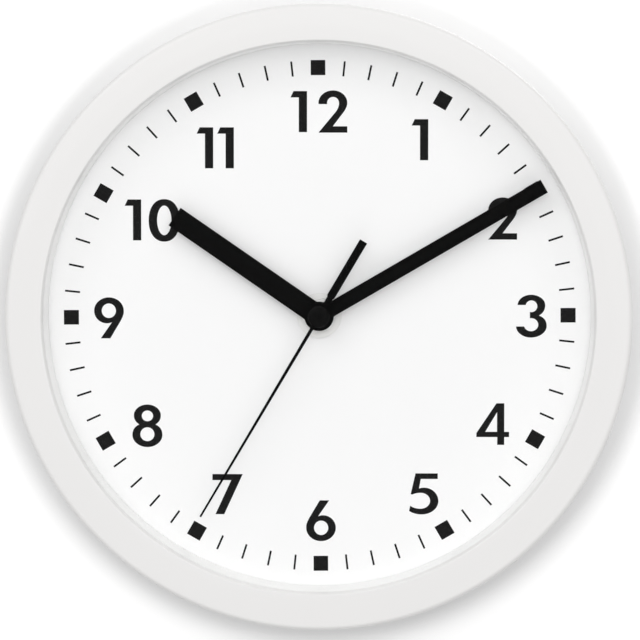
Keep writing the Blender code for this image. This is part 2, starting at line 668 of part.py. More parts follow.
def make_back_cover():
    """The rear disc: window for the movement, keyhole with its guard, and ribs out to the ring that holds the dial."""
    window = [
        -movement_half_width - WINDOW_PLAY,
        movement_bottom - WINDOW_PLAY,
        movement_half_width + WINDOW_PLAY,
        MOVEMENT_TOP + WINDOW_PLAY,
    ]
    screw_holes = [
        circle(SCREW_SHANK_RADIUS + SCREW_PLAY, BOSS_FACETS, beside(AXIS, screw_circle, angle))
        for angle in screw_angles()
    ]
    cover = stack(
        "back_cover",
        [(
            circle(cover_radius, CASE_FACETS),
            [rounded_box(*window, MOVEMENT_CORNER), keyhole(), *screw_holes],
            cover_back, cover_front,
        )],
        white_plastic,
    )
    root = cover_front - SINK
    join(cover, stack(
        "cover_clamp_rib",
        [(
            circle(clamp_radius, CASE_FACETS), [circle(clamp_inside, CASE_FACETS)],
            root, dial_back - SEAT_GAP,
        )],
        white_plastic,
    ))
    collar_inside = [window[0] - SINK, window[1] - SINK, window[2] + SINK, window[3] + SINK]
    collar_outside = [
        collar_inside[0] - COVER_RIB_THICKNESS,
        collar_inside[1] - COVER_RIB_THICKNESS,
        collar_inside[2] + COVER_RIB_THICKNESS,
        collar_inside[3] + COVER_RIB_THICKNESS,
    ]
    rib_front = cover_front + COVER_RIB_HEIGHT
    join(cover, stack(
        "cover_collar",
        [(
            rounded_box(*collar_outside, MOVEMENT_CORNER + COVER_RIB_THICKNESS),
            [rounded_box(*collar_inside, MOVEMENT_CORNER)],
            root, rib_front,
        )],
        white_plastic,
    ))
    join(cover, stack(
        "cover_keyhole_guard",
        [(
            keyhole(KEYHOLE_GUARD_MARGIN + COVER_RIB_THICKNESS), [keyhole(KEYHOLE_GUARD_MARGIN)],
            root, cover_front + KEYHOLE_GUARD_HEIGHT,
        )],
        white_plastic,
    ))
    for i in range(COVER_RIB_COUNT):
        angle = 2 * math.pi * i / COVER_RIB_COUNT
        across, up = math.cos(angle), math.sin(angle)
        sideways = collar_outside[2] / abs(across) if abs(across) > SINK else CASE_RADIUS
        upright = abs((collar_outside[3] if up > 0 else collar_outside[1]) / up) if abs(up) > SINK else CASE_RADIUS
        start = min(sideways, upright) - COVER_RIB_THICKNESS / 2
        half = COVER_RIB_THICKNESS / 2
        end = clamp_radius - CLAMP_RIB_THICKNESS / 2
        outline = [(start, -half), (end, -half), (end, half), (start, half)]
        join(cover, stack(
            f"cover_rib_{i}", [(outline, [], root - SINK, rib_front - SINK)], white_plastic, turned=(0.0, 0.0, angle)
        ))


def make_case_screws():
    """Six identical screws, each with its head under the cover and its shank in a boss."""
    head_front = cover_back - SEAT_GAP
    profile = [
        (0.0, head_front - SCREW_HEAD_HEIGHT),
        (SCREW_HEAD_RADIUS * HEAD_FLAT_SHARE, head_front - SCREW_HEAD_HEIGHT),
        (SCREW_HEAD_RADIUS, head_front - SCREW_HEAD_HEIGHT / 2),
        (SCREW_HEAD_RADIUS, head_front),
        (SCREW_SHANK_RADIUS, head_front),
        (SCREW_SHANK_RADIUS, cover_front + SCREW_DEPTH),
        (0.0, cover_front + SCREW_DEPTH + SCREW_SHANK_RADIUS),
    ]
    places = [beside(AXIS, screw_circle, angle) for angle in screw_angles()]
    repeat("case_screw", profile, places, BOSS_FACETS, screw_steel)


def repeat(name, profile, places, facets, material):
    """The same turned piece at several places, numbered from 1."""
    for i, (x, y) in enumerate(places):
        lathe(f"{name}_{i + 1}", profile, facets, material, (x, y, 0.0))


# Dial side of the axis
def make_nut_and_washers():
    bore = circle(BUSH_RADIUS + RUN_GAP, PIPE_FACETS)
    stack("rubber_washer", [(circle(RUBBER_RADIUS, WASHER_FACETS), [bore], rubber_back, rubber_front)], black_rubber)
    stack("dial_washer", [(circle(WASHER_RADIUS, WASHER_FACETS), [bore], washer_back, washer_front)], milky_plastic)
    hexagon = circle(NUT_CORNER_RADIUS, 6, start=NUT_TURN)
    stack("dial_nut", [(hexagon, [bore], nut_back, nut_front)], milky_plastic)


def make_hands():
    """Stamped blades on their collars: hour and minute on pipes, the second hand on a tube."""
    hour_bore = circle(HOUR_PIPE_RADIUS + HAND_FIT_GAP, PIPE_FACETS)
    hour_collar = circle((HOUR_PIPE_RADIUS + HOUR_WIDTH / 2) / 2, PIPE_FACETS)
    stack(
        "hour_hand",
        [
            (hour_collar, [hour_bore], hour_back, hour_back + COLLAR_HEIGHT),
            (blade(hour_length, HOUR_WIDTH, HOUR_HUB_RADIUS), [hour_bore], hour_back + COLLAR_HEIGHT, hour_front),
        ],
        black_paint, turned=(0.0, 0.0, -HOUR_ANGLE),
    )
    minute_bore = circle(MINUTE_PIPE_RADIUS + HAND_FIT_GAP, PIPE_FACETS)
    minute_collar = circle((MINUTE_PIPE_RADIUS + MINUTE_WIDTH / 2) / 2, PIPE_FACETS)
    stack(
        "minute_hand",
        [
            (minute_collar, [minute_bore], minute_back, minute_back + COLLAR_HEIGHT),
            (
                blade(minute_length, MINUTE_WIDTH, MINUTE_HUB_RADIUS), [minute_bore],
                minute_back + COLLAR_HEIGHT, minute_front,
            ),
        ],
        black_paint, turned=(0.0, 0.0, -MINUTE_ANGLE),
    )
    second_bore = circle(SECOND_ARBOR_RADIUS + HAND_FIT_GAP, BOSS_FACETS)
    tube_front = second_back + SECOND_TUBE_HEIGHT
    stack(
        "second_hand",
        [
            (circle(SECOND_TUBE_RADIUS, BOSS_FACETS), [second_bore], second_back, tube_front),
            (second_blade(), [second_bore], tube_front, second_front),
        ],
        black_paint, turned=(0.0, 0.0, -SECOND_ANGLE),
    )
    steps = 4
    dome = [
        (CAP_RADIUS * math.cos(angle), cap_back + CAP_EDGE + (CAP_HEIGHT - CAP_EDGE) * math.sin(angle))
        for angle in (math.pi / 2 * i / steps for i in range(steps))
    ]
    profile = [(0.0, cap_back), (CAP_RADIUS, cap_back), *dome, (0.0, cap_back + CAP_HEIGHT)]
    lathe("second_hand_cap", profile, WASHER_FACETS, black_paint)


# Movement
def chamber(inset):
    """The outline of the wheel chamber, drawn in by that much."""
    return rounded_box(
        -movement_half_width + inset,
        bay_top + inset,
        movement_half_width - inset,
        MOVEMENT_TOP - inset,
        MOVEMENT_CORNER - inset,
    )


def boss_sections(hole_radius, radius, back):
    """A tube from the front wall down to where it ends."""
    return [(circle(radius, BOSS_FACETS), [circle(hole_radius, PIVOT_FACETS)], back, front_inner + SINK)]


def make_front_case():
    """The tray with the threaded bush, pivot bosses, posts, saddles and the battery's trough."""
    outer = chamber(0.0)
    case = stack(
        "movement_front_case",
        [
            (outer, [chamber(MOVEMENT_WALL)], split, front_inner),
            (outer, [], front_inner, movement_front),
        ],
        black_plastic,
    )
    bay_outer = rounded_box(
        -bay_half - MOVEMENT_WALL, movement_bottom, bay_half + MOVEMENT_WALL,
        bay_top + MOVEMENT_WALL - SEAT_GAP, MOVEMENT_WALL,
    )
    bay_inner = rounded_box(-bay_half, bay_bottom, bay_half, bay_top, MOVEMENT_WALL / 2)
    join(case, stack(
        "front_case_bay",
        [(bay_outer, [bay_inner], movement_back, front_inner), (bay_outer, [], front_inner, movement_front)],
        black_plastic,
    ))
    join(case, stack(
        "front_case_bush",
        [(circle(BUSH_RADIUS, PIPE_FACETS), [], front_inner + SINK, bush_front)],
        black_plastic,
    ))
    third_boss_back = wheel_front[LEVEL_HOUR] + SEAT_GAP
    pivot_bore = PIVOT_RADIUS + RUN_GAP
    for name, at, back in (
        ("seconds_intermediate", seconds_intermediate_at, wheel_front[LEVEL_MINUTE] + SEAT_GAP),
        ("seconds_rotor", seconds_rotor_at, magnet_front + SEAT_GAP),
        ("third", third_at, third_boss_back),
        ("minutes_intermediate", minutes_intermediate_at, third_boss_back),
        ("minutes_rotor", minutes_rotor_at, wheel_front[LEVEL_HOUR] + PINION_OVERLAP + SEAT_GAP),
    ):
        join(case, stack(
            f"front_case_boss_{name}", boss_sections(pivot_bore, PIVOT_BOSS_RADIUS, back), black_plastic, (*at, 0.0)
        ))
    motion_boss_back = wheel_front[LEVEL_HOUR] + PINION_OVERLAP + SEAT_GAP
    join(case, stack(
        "front_case_motion_stud",
        [
            (circle(STUD_RADIUS, PIVOT_FACETS), [], wheel_back[LEVEL_THIRD] - SEAT_GAP, motion_boss_back),
            (circle(PIVOT_BOSS_RADIUS, BOSS_FACETS), [], motion_boss_back, front_inner + SINK),
        ],
        black_plastic, (*motion_at, 0.0),
    ))
    for i, at in enumerate(post_places):
        join(case, stack(
            f"front_case_post_{i}",
            boss_sections(CASE_SCREW_RADIUS + RUN_GAP, POST_RADIUS, rear_inner + SEAT_GAP),
            black_plastic, (*at, 0.0),
        ))
    for i, at in enumerate(PLATE_POST_PLACES):
        join(case, stack(
            f"front_case_plate_post_{i}",
            [
                (circle(PLATE_PIN_RADIUS, BOSS_FACETS), [], plate_back - SEAT_GAP, plate_front + SEAT_GAP),
                (circle(PLATE_POST_RADIUS, BOSS_FACETS), [], plate_front + SEAT_GAP, front_inner + SINK),
            ],
            black_plastic, (*at, 0.0),
        ))
    for side, rotor_at in ((-1, seconds_rotor_at), (1, minutes_rotor_at)):
        for end in (-1, 1):
            at = (side * coil_x, rotor_at[1] + end * (STATOR_ARM_HALF - STATOR_ARM_WIDTH / 2), 0.0)
            join(case, stack(
                f"front_case_core_post_{side}_{end}",
                [(circle(PLATE_POST_RADIUS, BOSS_FACETS), [], core_front + SEAT_GAP, front_inner + SINK)],
                black_plastic, at,
            ))
    for kind, radius, carried_at, half_length, half_width in (
        ("rod", ROD_RADIUS + SEAT_GAP, (ROD_Y, rod_z), ROD_LENGTH / 2, ROD_RADIUS),
        ("battery", BATTERY_RADIUS + SEAT_GAP, (battery_y, battery_z), BATTERY_LENGTH / 2, BATTERY_RADIUS + BAY_PLAY / 2),
    ):
        for side in (-1, 1):
            outline = [(-z, y) for z, y in saddle(radius, carried_at, front_inner + SINK, half_width)]
            middle = side * SADDLE_PLACE_SHARE * half_length
            join(case, stack(
                f"front_case_{kind}_saddle_{side}",
                [(outline, [], middle - SADDLE_THICKNESS / 2, middle + SADDLE_THICKNESS / 2)],
                black_plastic, turned=(0.0, math.pi / 2, 0.0),
            ))
    cut(case, stack(
        "front_case_bore",
        [(
            circle(HOUR_PIPE_RADIUS + RUN_GAP, PIPE_FACETS), [],
            front_inner - CUT_OVERRUN, bush_front + CUT_OVERRUN,
        )],
        black_plastic,
    ))


def make_rear_case():
    """The lid over the wheel chamber: screw holes, the buttons' holes and posts behind the board."""
    lower = CHAMBER_BOTTOM + SEAT_GAP

    def lid(inset):
        return rounded_box(
            -movement_half_width + inset, lower + inset, movement_half_width - inset, MOVEMENT_TOP - inset,
            MOVEMENT_CORNER - inset,
        )

    outer = lid(0.0)
    screw_holes = [circle(CASE_SCREW_RADIUS + SCREW_PLAY, BOSS_FACETS, at) for at in post_places]
    button_holes = [circle(BUTTON_RADIUS + BUTTON_PLAY, PIPE_FACETS, at) for at in button_places]
    case = stack(
        "movement_rear_case",
        [
            (outer, [*screw_holes, *button_holes], movement_back, rear_inner),
            (outer, [lid(MOVEMENT_WALL)], rear_inner, split - SEAT_GAP),
        ],
        black_plastic,
    )
    for i, at in enumerate(support_places):
        join(case, stack(
            f"rear_case_support_{i}",
            [(circle(SUPPORT_RADIUS, BOSS_FACETS), [], rear_inner - SINK, board_back - SEAT_GAP)],
            black_plastic, (*at, 0.0),
        ))


def make_movement_screws():
    head_front = movement_back - SEAT_GAP
    profile = [
        (0.0, head_front - CASE_SCREW_HEAD_HEIGHT),
        (CASE_SCREW_HEAD_RADIUS * HEAD_FLAT_SHARE, head_front - CASE_SCREW_HEAD_HEIGHT),
        (CASE_SCREW_HEAD_RADIUS, head_front),
        (CASE_SCREW_RADIUS, head_front),
        (CASE_SCREW_RADIUS, rear_inner + CASE_SCREW_DEPTH),
        (0.0, rear_inner + CASE_SCREW_DEPTH + CASE_SCREW_RADIUS),
    ]
    repeat("movement_screw", profile, post_places, BOSS_FACETS, screw_steel)


def make_train_plate():
    """The plate with the rear pivots' holes, pinned to the front case's posts, and stand-offs for the board."""
    outline = rounded_box(
        seconds_rotor_at[0] - PLATE_EDGE, PLATE_BOTTOM, minutes_rotor_at[0] + PLATE_EDGE, PLATE_TOP, PLATE_EDGE
    )
    pivots = [seconds_rotor_at, seconds_intermediate_at, third_at, minutes_intermediate_at, minutes_rotor_at]
    holes = [circle(PIVOT_RADIUS + RUN_GAP, PIVOT_FACETS, at) for at in pivots]
    holes.append(circle(SECOND_ARBOR_RADIUS + RUN_GAP, BOSS_FACETS))
    holes += [circle(PLATE_PIN_RADIUS + RUN_GAP, PIVOT_FACETS, at) for at in PLATE_POST_PLACES]
    train_plate = stack("train_plate", [(outline, holes, plate_back, plate_front)], ivory_plastic)
    for i, at in enumerate(support_places):
        join(train_plate, stack(
            f"train_plate_standoff_{i}",
            [(circle(SUPPORT_RADIUS, BOSS_FACETS), [], board_front + SEAT_GAP, plate_back + SINK)],
            ivory_plastic, (*at, 0.0),
        ))


def make_board():
    """The circuit board with what it carries on its two faces."""
    inset = MOVEMENT_WALL + BOARD_INSET
    half_width = post_x - POST_RADIUS - POST_HOLE_PLAY
    outline = rounded_box(
        -half_width, CHAMBER_BOTTOM + SEAT_GAP + inset, half_width, MOVEMENT_TOP - inset,
        MOVEMENT_CORNER - MOVEMENT_WALL,
    )
    stack("circuit_board", [(outline, [], board_back, board_front)], board_green)
    half = CHIP_SIDE / 2
    x, y = CHIP_PLACE
    stack(
        "receiver_chip",
        [(
            rounded_box(x - half, y - half, x + half, y + half, CHIP_CORNER, 1), [],
            board_front + SEAT_GAP, board_front + SEAT_GAP + CHIP_THICKNESS,
        )],
        black_plastic,
    )
    can = [
        (0.0, 0.0),
        (CRYSTAL_RADIUS - CRYSTAL_EDGE, 0.0),
        (CRYSTAL_RADIUS, CRYSTAL_EDGE),
        (CRYSTAL_RADIUS, CRYSTAL_LENGTH),
        (0.0, CRYSTAL_LENGTH),
    ]
    can_z = board_front + SEAT_GAP + CRYSTAL_RADIUS
    for name, at in (("time_crystal", TIME_CRYSTAL_PLACE), ("tuning_crystal", TUNING_CRYSTAL_PLACE)):
        lathe(name, can, BOSS_FACETS, bright_steel, (*at, can_z), (0.0, math.pi / 2, 0.0))
    foot = board_front + SEAT_GAP
    groove = [foot + share * CAPACITOR_HEIGHT for share in GROOVE_SHARES]
    capacitor = [
        (0.0, foot),
        (CAPACITOR_RADIUS, foot),
        (CAPACITOR_RADIUS, groove[0]),
        (CAPACITOR_RADIUS - CAPACITOR_GROOVE, groove[1]),
        (CAPACITOR_RADIUS, groove[2]),
        (CAPACITOR_RADIUS, foot + CAPACITOR_HEIGHT),
        (0.0, foot + CAPACITOR_HEIGHT),
    ]
    lathe("smoothing_capacitor", capacitor, ROD_FACETS, capacitor_sleeve, (*CAPACITOR_PLACE, 0.0))


def make_buttons():
    """Three caps through the rear case, each with a flange behind the wall and a switch in front of it."""
    flange_back = rear_inner + SEAT_GAP
    flange_front = flange_back + BUTTON_FLANGE
    plunger_back = flange_front + BUTTON_TRAVEL + BUTTON_TOUCH
    body_back = plunger_back + SWITCH_PLUNGER
    body_front = body_back + SWITCH_BODY
    half = SWITCH_SIDE / 2
    square = rounded_box(-half, -half, half, half, SWITCH_PLUNGER, 1)
    for name, at in zip(BUTTON_NAMES, button_places):
        stack(
            f"{name}_button",
            [
                (circle(BUTTON_RADIUS, PIPE_FACETS), [], movement_back - BUTTON_PROUD, flange_back),
                (circle(BUTTON_FLANGE_RADIUS, PIPE_FACETS), [], flange_back, flange_front),
            ],
            grey_plastic, (*at, 0.0),
        )
        stack(
            f"{name}_switch",
            [
                (circle(SWITCH_PLUNGER_RADIUS, BOSS_FACETS), [], plunger_back, body_back),
                (square, [], body_back, body_front),
            ],
            bright_steel, (*at, 0.0),
        )


def make_trains():
    """Every arbor of both trains, each in mesh with the next and starting from the hands' axis."""
    pivot = circle(PIVOT_RADIUS, PIVOT_FACETS)
    pinion = gear(PINION_TEETH, pinion=True)
    seconds_turn = 0.0
    minute_turn = 0.0
    intermediate_turn = meshing_turn(AXIS, seconds_intermediate_at, SECONDS_WHEEL_TEETH, PINION_TEETH, seconds_turn)
    rotor_turn = meshing_turn(
        seconds_intermediate_at, seconds_rotor_at, SECONDS_INTERMEDIATE_TEETH, PINION_TEETH, intermediate_turn
    )
    third_turn = meshing_turn(AXIS, third_at, MINUTE_WHEEL_TEETH, PINION_TEETH, minute_turn)
    minutes_intermediate_turn = meshing_turn(
        third_at, minutes_intermediate_at, THIRD_WHEEL_TEETH, PINION_TEETH, third_turn
    )
    minutes_rotor_turn = meshing_turn(
        minutes_intermediate_at, minutes_rotor_at, MINUTES_INTERMEDIATE_TEETH, PINION_TEETH, minutes_intermediate_turn
    )
    motion_turn = meshing_turn(AXIS, motion_at, CANNON_TEETH, MOTION_WHEEL_TEETH, minute_turn)
    hour_turn = meshing_turn(motion_at, AXIS, PINION_TEETH, HOUR_WHEEL_TEETH, motion_turn)

    second_arbor = circle(SECOND_ARBOR_RADIUS, BOSS_FACETS)
    stack(
        "seconds_wheel",
        [
            (second_arbor, [], pivot_back, wheel_back[LEVEL_SECONDS]),
            (gear(SECONDS_WHEEL_TEETH), [], wheel_back[LEVEL_SECONDS], wheel_front[LEVEL_SECONDS]),
            (second_arbor, [], wheel_front[LEVEL_SECONDS], second_front - SEAT_GAP),
        ],
        ivory_plastic, turned=(0.0, 0.0, seconds_turn),
    )
    intermediate_pinion_front = wheel_front[LEVEL_SECONDS] + PINION_OVERLAP
    stack(
        "seconds_intermediate_wheel",
        [
            (pivot, [], pivot_back, wheel_back[LEVEL_SECONDS_INTERMEDIATE]),
            (
                gear(SECONDS_INTERMEDIATE_TEETH), [],
                wheel_back[LEVEL_SECONDS_INTERMEDIATE], wheel_front[LEVEL_SECONDS_INTERMEDIATE],
            ),
            (pinion, [], wheel_front[LEVEL_SECONDS_INTERMEDIATE], intermediate_pinion_front),
            (pivot, [], intermediate_pinion_front, wheel_front[LEVEL_MINUTE] + SEAT_GAP + PIVOT_DEPTH),
        ],
        ivory_plastic, (*seconds_intermediate_at, 0.0), (0.0, 0.0, intermediate_turn),
    )
    magnet = circle(MAGNET_RADIUS, PIPE_FACETS)
    rotor_pinion_back = wheel_back[LEVEL_SECONDS_INTERMEDIATE] - SEAT_GAP
    rotor_pinion_front = wheel_front[LEVEL_SECONDS_INTERMEDIATE] + SEAT_GAP
    stack(
        "seconds_rotor",
        [
            (pivot, [], pivot_back, rotor_pinion_back),
            (pinion, [], rotor_pinion_back, rotor_pinion_front),
            (pivot, [], rotor_pinion_front, magnet_back),
            (magnet, [], magnet_back, magnet_front),
            (pivot, [], magnet_front, magnet_front + SEAT_GAP + PIVOT_DEPTH),
        ],
        magnet_grey, (*seconds_rotor_at, 0.0), (0.0, 0.0, rotor_turn),
    )

    pipe_bore = circle(MINUTE_PIPE_BORE, BOSS_FACETS)
    cannon_front = wheel_front[LEVEL_THIRD] + SEAT_GAP
    collar_front = wheel_back[LEVEL_HOUR] - SEAT_GAP
    minute_pipe = circle(MINUTE_PIPE_RADIUS, PIPE_FACETS)
    collar = circle(cannon_module * (CANNON_TEETH / 2 + COLLAR_STEP), PIPE_FACETS)
    stack(
        "minute_wheel",
        [
            (gear(MINUTE_WHEEL_TEETH), [pipe_bore], wheel_back[LEVEL_MINUTE], wheel_front[LEVEL_MINUTE]),
            (gear(CANNON_TEETH, cannon_module, pinion=True), [pipe_bore], wheel_front[LEVEL_MINUTE], cannon_front),
            (collar, [pipe_bore], cannon_front, collar_front),
            (minute_pipe, [pipe_bore], collar_front, minute_front),
        ],
        ivory_plastic, turned=(0.0, 0.0, minute_turn),
    )
    third_pinion_back = wheel_back[LEVEL_MINUTE] - PINION_OVERLAP
    stack(
        "third_wheel",
        [
            (pivot, [], pivot_back, third_pinion_back),
            (pinion, [], third_pinion_back, wheel_back[LEVEL_THIRD]),
            (gear(THIRD_WHEEL_TEETH), [], wheel_back[LEVEL_THIRD], wheel_front[LEVEL_THIRD]),
            (pivot, [], wheel_front[LEVEL_THIRD], wheel_front[LEVEL_HOUR] + SEAT_GAP + PIVOT_DEPTH),
        ],
        ivory_plastic, (*third_at, 0.0), (0.0, 0.0, third_turn),
    )
    intermediate_pinion_back = wheel_back[LEVEL_THIRD] - PINION_OVERLAP
    stack(
        "minutes_intermediate_wheel",
        [
            (pivot, [], pivot_back, intermediate_pinion_back),
            (pinion, [], intermediate_pinion_back, wheel_back[LEVEL_HOUR]),
            (gear(MINUTES_INTERMEDIATE_TEETH), [], wheel_back[LEVEL_HOUR], wheel_front[LEVEL_HOUR]),
            (pivot, [], wheel_front[LEVEL_HOUR], wheel_front[LEVEL_HOUR] + SEAT_GAP + PIVOT_DEPTH),
        ],
        ivory_plastic, (*minutes_intermediate_at, 0.0), (0.0, 0.0, minutes_intermediate_turn),
    )
    rotor_pinion_front = wheel_front[LEVEL_HOUR] + PINION_OVERLAP
    stack(
        "minutes_rotor",
        [
            (pivot, [], pivot_back, magnet_back),
            (magnet, [], magnet_back, magnet_front),
            (pivot, [], magnet_front, wheel_back[LEVEL_HOUR] - PINION_OVERLAP),
            (pinion, [], wheel_back[LEVEL_HOUR] - PINION_OVERLAP, rotor_pinion_front),
            (pivot, [], rotor_pinion_front, rotor_pinion_front + SEAT_GAP + PIVOT_DEPTH / 2),
        ],
        magnet_grey, (*minutes_rotor_at, 0.0), (0.0, 0.0, minutes_rotor_turn),
    )
    stud_bore = circle(STUD_RADIUS + STUD_PLAY, PIVOT_FACETS)
    stack(
        "motion_wheel",
        [
            (gear(MOTION_WHEEL_TEETH, cannon_module), [stud_bore], wheel_back[LEVEL_THIRD], wheel_front[LEVEL_THIRD]),
            (pinion, [stud_bore], wheel_front[LEVEL_THIRD], wheel_front[LEVEL_HOUR] + PINION_OVERLAP),
        ],
        ivory_plastic, (*motion_at, 0.0), (0.0, 0.0, motion_turn),
    )
    hour_bore = circle(MINUTE_PIPE_RADIUS + RUN_GAP, PIPE_FACETS)
    stack(
        "hour_wheel",
        [
            (gear(HOUR_WHEEL_TEETH), [hour_bore], wheel_back[LEVEL_HOUR], wheel_front[LEVEL_HOUR]),
            (circle(HOUR_PIPE_RADIUS, PIPE_FACETS), [hour_bore], wheel_front[LEVEL_HOUR], hour_front),
        ],
        ivory_plastic, turned=(0.0, 0.0, hour_turn),
    )


def stator_outline(reach, side, steps=6):
    """A C of sheet iron about the rotor: a bar with a round pad, and two arms out to the coil's core."""
    bar_outside = STATOR_PAD_RADIUS
    arm_inside = STATOR_ARM_HALF - STATOR_ARM_WIDTH
    end = reach + CORE_WIDTH
    meet = math.acos(STATOR_NECK / STATOR_PAD_RADIUS)
    pad = [
        beside(AXIS, STATOR_PAD_RADIUS, math.pi - meet + 2 * meet * i / steps) for i in range(steps + 1)
    ]
    points = [
        (-STATOR_NECK, -STATOR_ARM_HALF),
        (end, -STATOR_ARM_HALF),
        (end, -arm_inside),
        (bar_outside, -arm_inside),
        (bar_outside, arm_inside),
        (end, arm_inside),
        (end, STATOR_ARM_HALF),
        (-STATOR_NECK, STATOR_ARM_HALF),
        *pad,
    ]
    return [(side * x, y) for x, y in points]


def make_motors():
    """For each rotor: its stator, the core across the stator's arms, and the coil on the core."""
    for name, side, (rotor_x, rotor_y) in (("seconds", -1, seconds_rotor_at), ("minutes", 1, minutes_rotor_at)):
        hole = circle(MAGNET_RADIUS + MAGNET_PLAY, PIPE_FACETS)
        stack(
            f"{name}_stator",
            [(stator_outline(coil_x - abs(rotor_x), side), [hole], stator_back, stator_front)],
            bright_steel, (rotor_x, rotor_y, 0.0),
        )
        half = CORE_WIDTH / 2
        bar = rounded_box(
            side * coil_x - half, rotor_y - STATOR_ARM_HALF, side * coil_x + half, rotor_y + STATOR_ARM_HALF,
            CORE_THICKNESS / 2, 1,
        )
        stack(f"{name}_core", [(bar, [], core_back, core_front)], bright_steel)
        coil_half = STATOR_ARM_HALF - STATOR_ARM_WIDTH - SEAT_GAP
        bore = math.hypot(CORE_WIDTH, CORE_THICKNESS) / 2 + COIL_BORE_PLAY
        winding = coil_half - COIL_FLANGE
        profile = [
            (bore, -coil_half),
            (COIL_FLANGE_RADIUS, -coil_half),
            (COIL_FLANGE_RADIUS, -winding),
            (COIL_RADIUS, -winding),
            (COIL_RADIUS, winding),
            (COIL_FLANGE_RADIUS, winding),
            (COIL_FLANGE_RADIUS, coil_half),
            (bore, coil_half),
        ]
        at = (side * coil_x, rotor_y, (core_back + core_front) / 2)
        lathe(f"{name}_coil", profile, ROD_FACETS, copper_wire, at, (math.pi / 2, 0.0, 0.0))


def make_antenna():
    """The ferrite rod across the top of the movement, with the antenna coil on its middle."""
    half = ROD_LENGTH / 2
    rod = [
        (0.0, -half),
        (ROD_RADIUS - ROD_EDGE, -half),
        (ROD_RADIUS, -half + ROD_EDGE),
        (ROD_RADIUS, half - ROD_EDGE),
        (ROD_RADIUS - ROD_EDGE, half),
        (0.0, half),
    ]
    along_x = (0.0, math.pi / 2, 0.0)
    lathe("ferrite_rod", rod, ROD_FACETS, ferrite_grey, (0.0, ROD_Y, rod_z), along_x)
    inside = ROD_RADIUS + ANTENNA_COIL_PLAY
    outside = inside + ANTENNA_COIL_WALL
    coil_half = ANTENNA_COIL_LENGTH / 2
    coil = [(inside, -coil_half), (outside, -coil_half), (outside, coil_half), (inside, coil_half)]
    lathe("antenna_coil", coil, ROD_FACETS, copper_wire, (0.0, ROD_Y, rod_z), along_x)


def contact(name, side):
    """A strip standing at the bay's end wall, bowed out to touch the cell's end."""
    wall = bay_half - SEAT_GAP
    touch = BATTERY_LENGTH / 2 + SEAT_GAP
    half = CONTACT_HEIGHT / 2
    bow, tip = (share * half for share in CONTACT_BOW_SHARES)
    thickness = CONTACT_THICKNESS
    outline = [
        (wall, -half),
        (wall, half),
        (wall - thickness, half),
        (wall - thickness, bow),
        (touch, tip),
        (touch, -tip),
        (wall - thickness, -bow),
        (wall - thickness, -half),
    ]
    stack(
        name,
        [([(side * x, y) for x, y in outline], [], battery_z - CONTACT_WIDTH / 2, battery_z + CONTACT_WIDTH / 2)],
        bright_steel, (0.0, battery_y, 0.0),
    )


def make_battery_and_contacts():
    half = BATTERY_LENGTH / 2
    body_end = half - NUB_LENGTH
    profile = [
        (0.0, -half),
        (BATTERY_RADIUS - BATTERY_EDGE, -half),
        (BATTERY_RADIUS, -half + BATTERY_EDGE),
        (BATTERY_RADIUS, body_end - BATTERY_EDGE),
        (BATTERY_RADIUS - BATTERY_EDGE, body_end),
        (NUB_RADIUS, body_end),
        (NUB_RADIUS, half),
        (0.0, half),
    ]
    lathe("battery", profile, WASHER_FACETS, battery_sleeve, (0.0, battery_y, battery_z), (0.0, math.pi / 2, 0.0))
    contact("battery_contact_positive", 1)
    contact("battery_contact_negative", -1)


wipe()
parent = stand()
white_plastic = finish("white_plastic", (0.85, 0.84, 0.82), 0.38)
clear_lens = finish("clear_lens", (0.95, 0.96, 0.96), 0.05)
dial_white = finish("dial_white", (0.93, 0.93, 0.93), 0.55)
milky_plastic = finish("milky_plastic", (0.80, 0.80, 0.79), 0.30)
black_paint = finish("black_paint", (0.010, 0.010, 0.010), 0.35)
black_plastic = finish("black_plastic", (0.020, 0.020, 0.021), 0.50)
black_rubber = finish("black_rubber", (0.015, 0.015, 0.015), 0.80)
grey_plastic = finish("grey_plastic", (0.55, 0.55, 0.55), 0.45)
ivory_plastic = finish("ivory_plastic", (0.76, 0.73, 0.64), 0.45)
screw_steel = finish("screw_steel", (0.45, 0.45, 0.46), 0.35, 1.0)
bright_steel = finish("bright_steel", (0.62, 0.62, 0.62), 0.28, 1.0)
board_green = finish("board_green", (0.03, 0.16, 0.06), 0.45)
copper_wire = finish("copper_wire", (0.60, 0.22, 0.09), 0.35, 1.0)
ferrite_grey = finish("ferrite_grey", (0.05, 0.05, 0.05), 0.60)
magnet_grey = finish("magnet_grey", (0.12, 0.12, 0.12), 0.45)
capacitor_sleeve = finish("capacitor_sleeve", (0.02, 0.03, 0.10), 0.35)
battery_sleeve = finish("battery_sleeve", (0.10, 0.11, 0.12), 0.30)

make_bezel()
make_lens()
make_spacer_ring()
make_dial()
make_back_cover()
make_case_screws()
make_nut_and_washers()
make_hands()
make_front_case()
make_rear_case()
make_movement_screws()
make_train_plate()
make_board()
make_buttons()
make_trains()
make_motors()
make_antenna()
make_battery_and_contacts()
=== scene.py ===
"""The looks of a radio-controlled wall clock, 255 mm across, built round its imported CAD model. Metres, +Z up.

The clock faces -Y and the wall is at y = 0. The file follows the clock as it is put together: the movement,
the dial, the lens and its ring, the bezel, the back, the nut, the hands, then the wall, light and camera.
"""

import math

import bmesh
import bpy
import numpy as np
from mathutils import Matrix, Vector
from mathutils.geometry import tessellate_polygon

